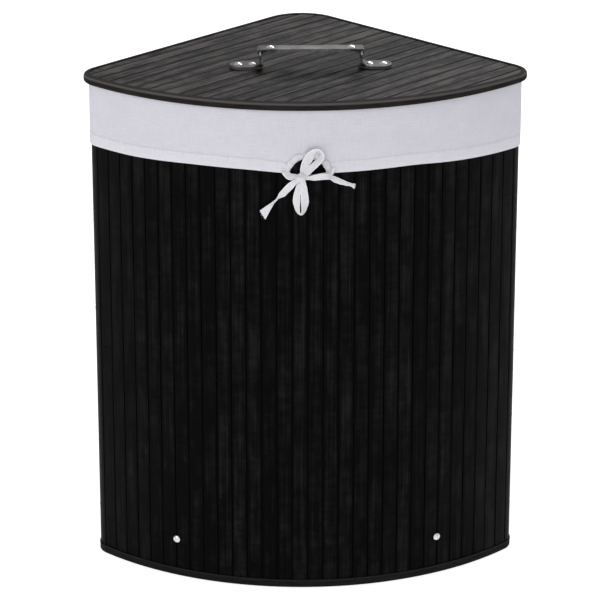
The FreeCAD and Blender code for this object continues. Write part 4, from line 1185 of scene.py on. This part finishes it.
def level(z, *places):
    """Points of a strip at one height, from its places in x."""
    return [(x, z) for x in places]


def tab(name, side):
    """A tab folded round the lower bar of a ring and riveted to the lid through both layers."""

    def half_width(x):
        if x > TAB_ROUND_X:
            return max(0.3, math.sqrt(max(0.0, TAB_HALF ** 2 - (x - TAB_ROUND_X) ** 2)))
        widths = [TAB_NECK_HALF, TAB_NECK_HALF, TAB_HALF, TAB_HALF]
        return float(np.interp(x, [55.0, 62.4, 68.4, TAB_ROUND_X], widths))

    ends = TAB_ROUND_X + (TAB_HALF - 0.01) * np.sin(np.linspace(math.pi / 2, 0, 14))
    line = level(TAB_LOW, *ends, *np.linspace(79.8, 62.4, 12))
    line += around_ring(RING_X, RING_LOW_Z, -75.0, -310.0, 22)
    line += level(TAB_HIGH, *np.linspace(64.9, 79.8, 12), *ends[::-1])
    builder = leather_strip([(x * side, z) for x, z in line], half_width, 120 + side)
    return builder.make(name, "lid", LEATHER, "leather", sharp=60, flip=side > 0)


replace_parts(tab("left_tab", -1), "tab_left")
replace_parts(tab("right_tab", 1), "tab_right")


def strap_mesh():
    """Two layers of leather folded round both rings, pressed together between them."""
    top = RING_HIGH_Z + EYE - 0.05
    dip = [(54.9, top - 4.15), (52.4, top - 2.95), (49.4, top - 2.05)]
    line = level(top, *np.linspace(-54, 54, 50))
    line += around_ring(RING_X, RING_HIGH_Z, 90.0, -80.0, 20) + dip
    line += level(top - 1.85, *np.linspace(45, -45, 40))
    line += [(-x, z) for x, z in dip[::-1]]
    line += around_ring(-RING_X, RING_HIGH_Z, -100.0, -270.0, 20) + [(-54.2, top)]

    def half_width(x):
        return 9.0 - math.cos(math.pi / 2 * min(1.0, x / 58.0))

    def wear_and_painted_shade(x):
        """Paler in the middle than at the riveted ends, which are darkened as painted shade."""
        return 0.14 - 0.45 * np.clip((np.abs(x) - 36.0) / 12.0, 0, 1)

    builder = leather_strip(line, half_width, 140, wear_and_painted_shade)
    return builder.make("strap", "strap", PALE_STRAP_LEATHER, "leather", sharp=60)


strap = strap_mesh()
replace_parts(strap, "handle_strap")

# ---------------------------------------------------------------- carried-over parts

CARRIED = {
    "wall_backing": BACKING,
    "top_binding": BACKING,
    "rim_hoop": PAINTED,
    "base_board": BOARD,
    "base_screws": SCREW,
    "lid_board": BOARD,
    "lid_lining": LINING,
    "tab_rivets": BRIGHT,
    "rivet_washers": BRIGHT,
    "strap_rivets": BRIGHT,
    "ring_left": WIRE,
    "ring_right": WIRE,
}
for node, material in CARRIED.items():
    NODES[node].data.materials.clear()
    NODES[node].data.materials.append(material)

# ---------------------------------------------------------------- stage and light


def area_light(name, place, target, size, power):
    """A rectangular soft light that faces a target."""
    data = bpy.data.lights.new(name, "AREA")
    data.shape = "RECTANGLE"
    data.size, data.size_y = size
    data.energy = power
    lamp = bpy.data.objects.new(name, data)
    lamp.location = place
    lamp.rotation_euler = (Vector(target) - Vector(place)).to_track_quat("-Z", "Y").to_euler()
    bpy.context.scene.collection.objects.link(lamp)


world = bpy.data.worlds.new("studio")
bpy.context.scene.world = world
world.use_nodes = True
nodes, links = world.node_tree.nodes, world.node_tree.links
soft_light = nodes["Background"]
soft_light.inputs["Color"].default_value = (0.97, 0.975, 1.0, 1.0)
soft_light.inputs["Strength"].default_value = 0.4
white = nodes.new("ShaderNodeBackground")
white.inputs["Color"].default_value = (1.0, 1.0, 1.0, 1.0)
white.inputs["Strength"].default_value = 1.05
seen = nodes.new("ShaderNodeLightPath")
blend = nodes.new("ShaderNodeMixShader")
links.new(seen.outputs["Is Camera Ray"], blend.inputs[0])
links.new(soft_light.outputs[0], blend.inputs[1])
links.new(white.outputs[0], blend.inputs[2])
links.new(blend.outputs[0], nodes["World Output"].inputs["Surface"])

bpy.ops.mesh.primitive_plane_add(size=60.0, location=(0, 0, -0.0005))
floor = bpy.context.object
floor.name = "floor"
paper = Look("paper", (0.8, 0.8, 0.8), Roughness=0.9, Specular_IOR_Level=0.0)
paper.shader.inputs["Emission Color"].default_value = (1.0, 1.0, 1.0, 1.0)
paper.shader.inputs["Emission Strength"].default_value = 0.7
floor.data.materials.append(paper.material)

area_light("key", (-1.7, -2.6, 2.4), (0, 0, 0.45), (1.8, 1.8), 36.0)
area_light("fill", (2.2, -2.2, 1.6), (0, 0, 0.4), (1.8, 1.8), 4.0)
area_light("top", (0.9, 1.8, 2.3), (0, 0, 0.6), (2.2, 1.4), 34.0)

bpy.context.scene.view_settings.view_transform = "Standard"
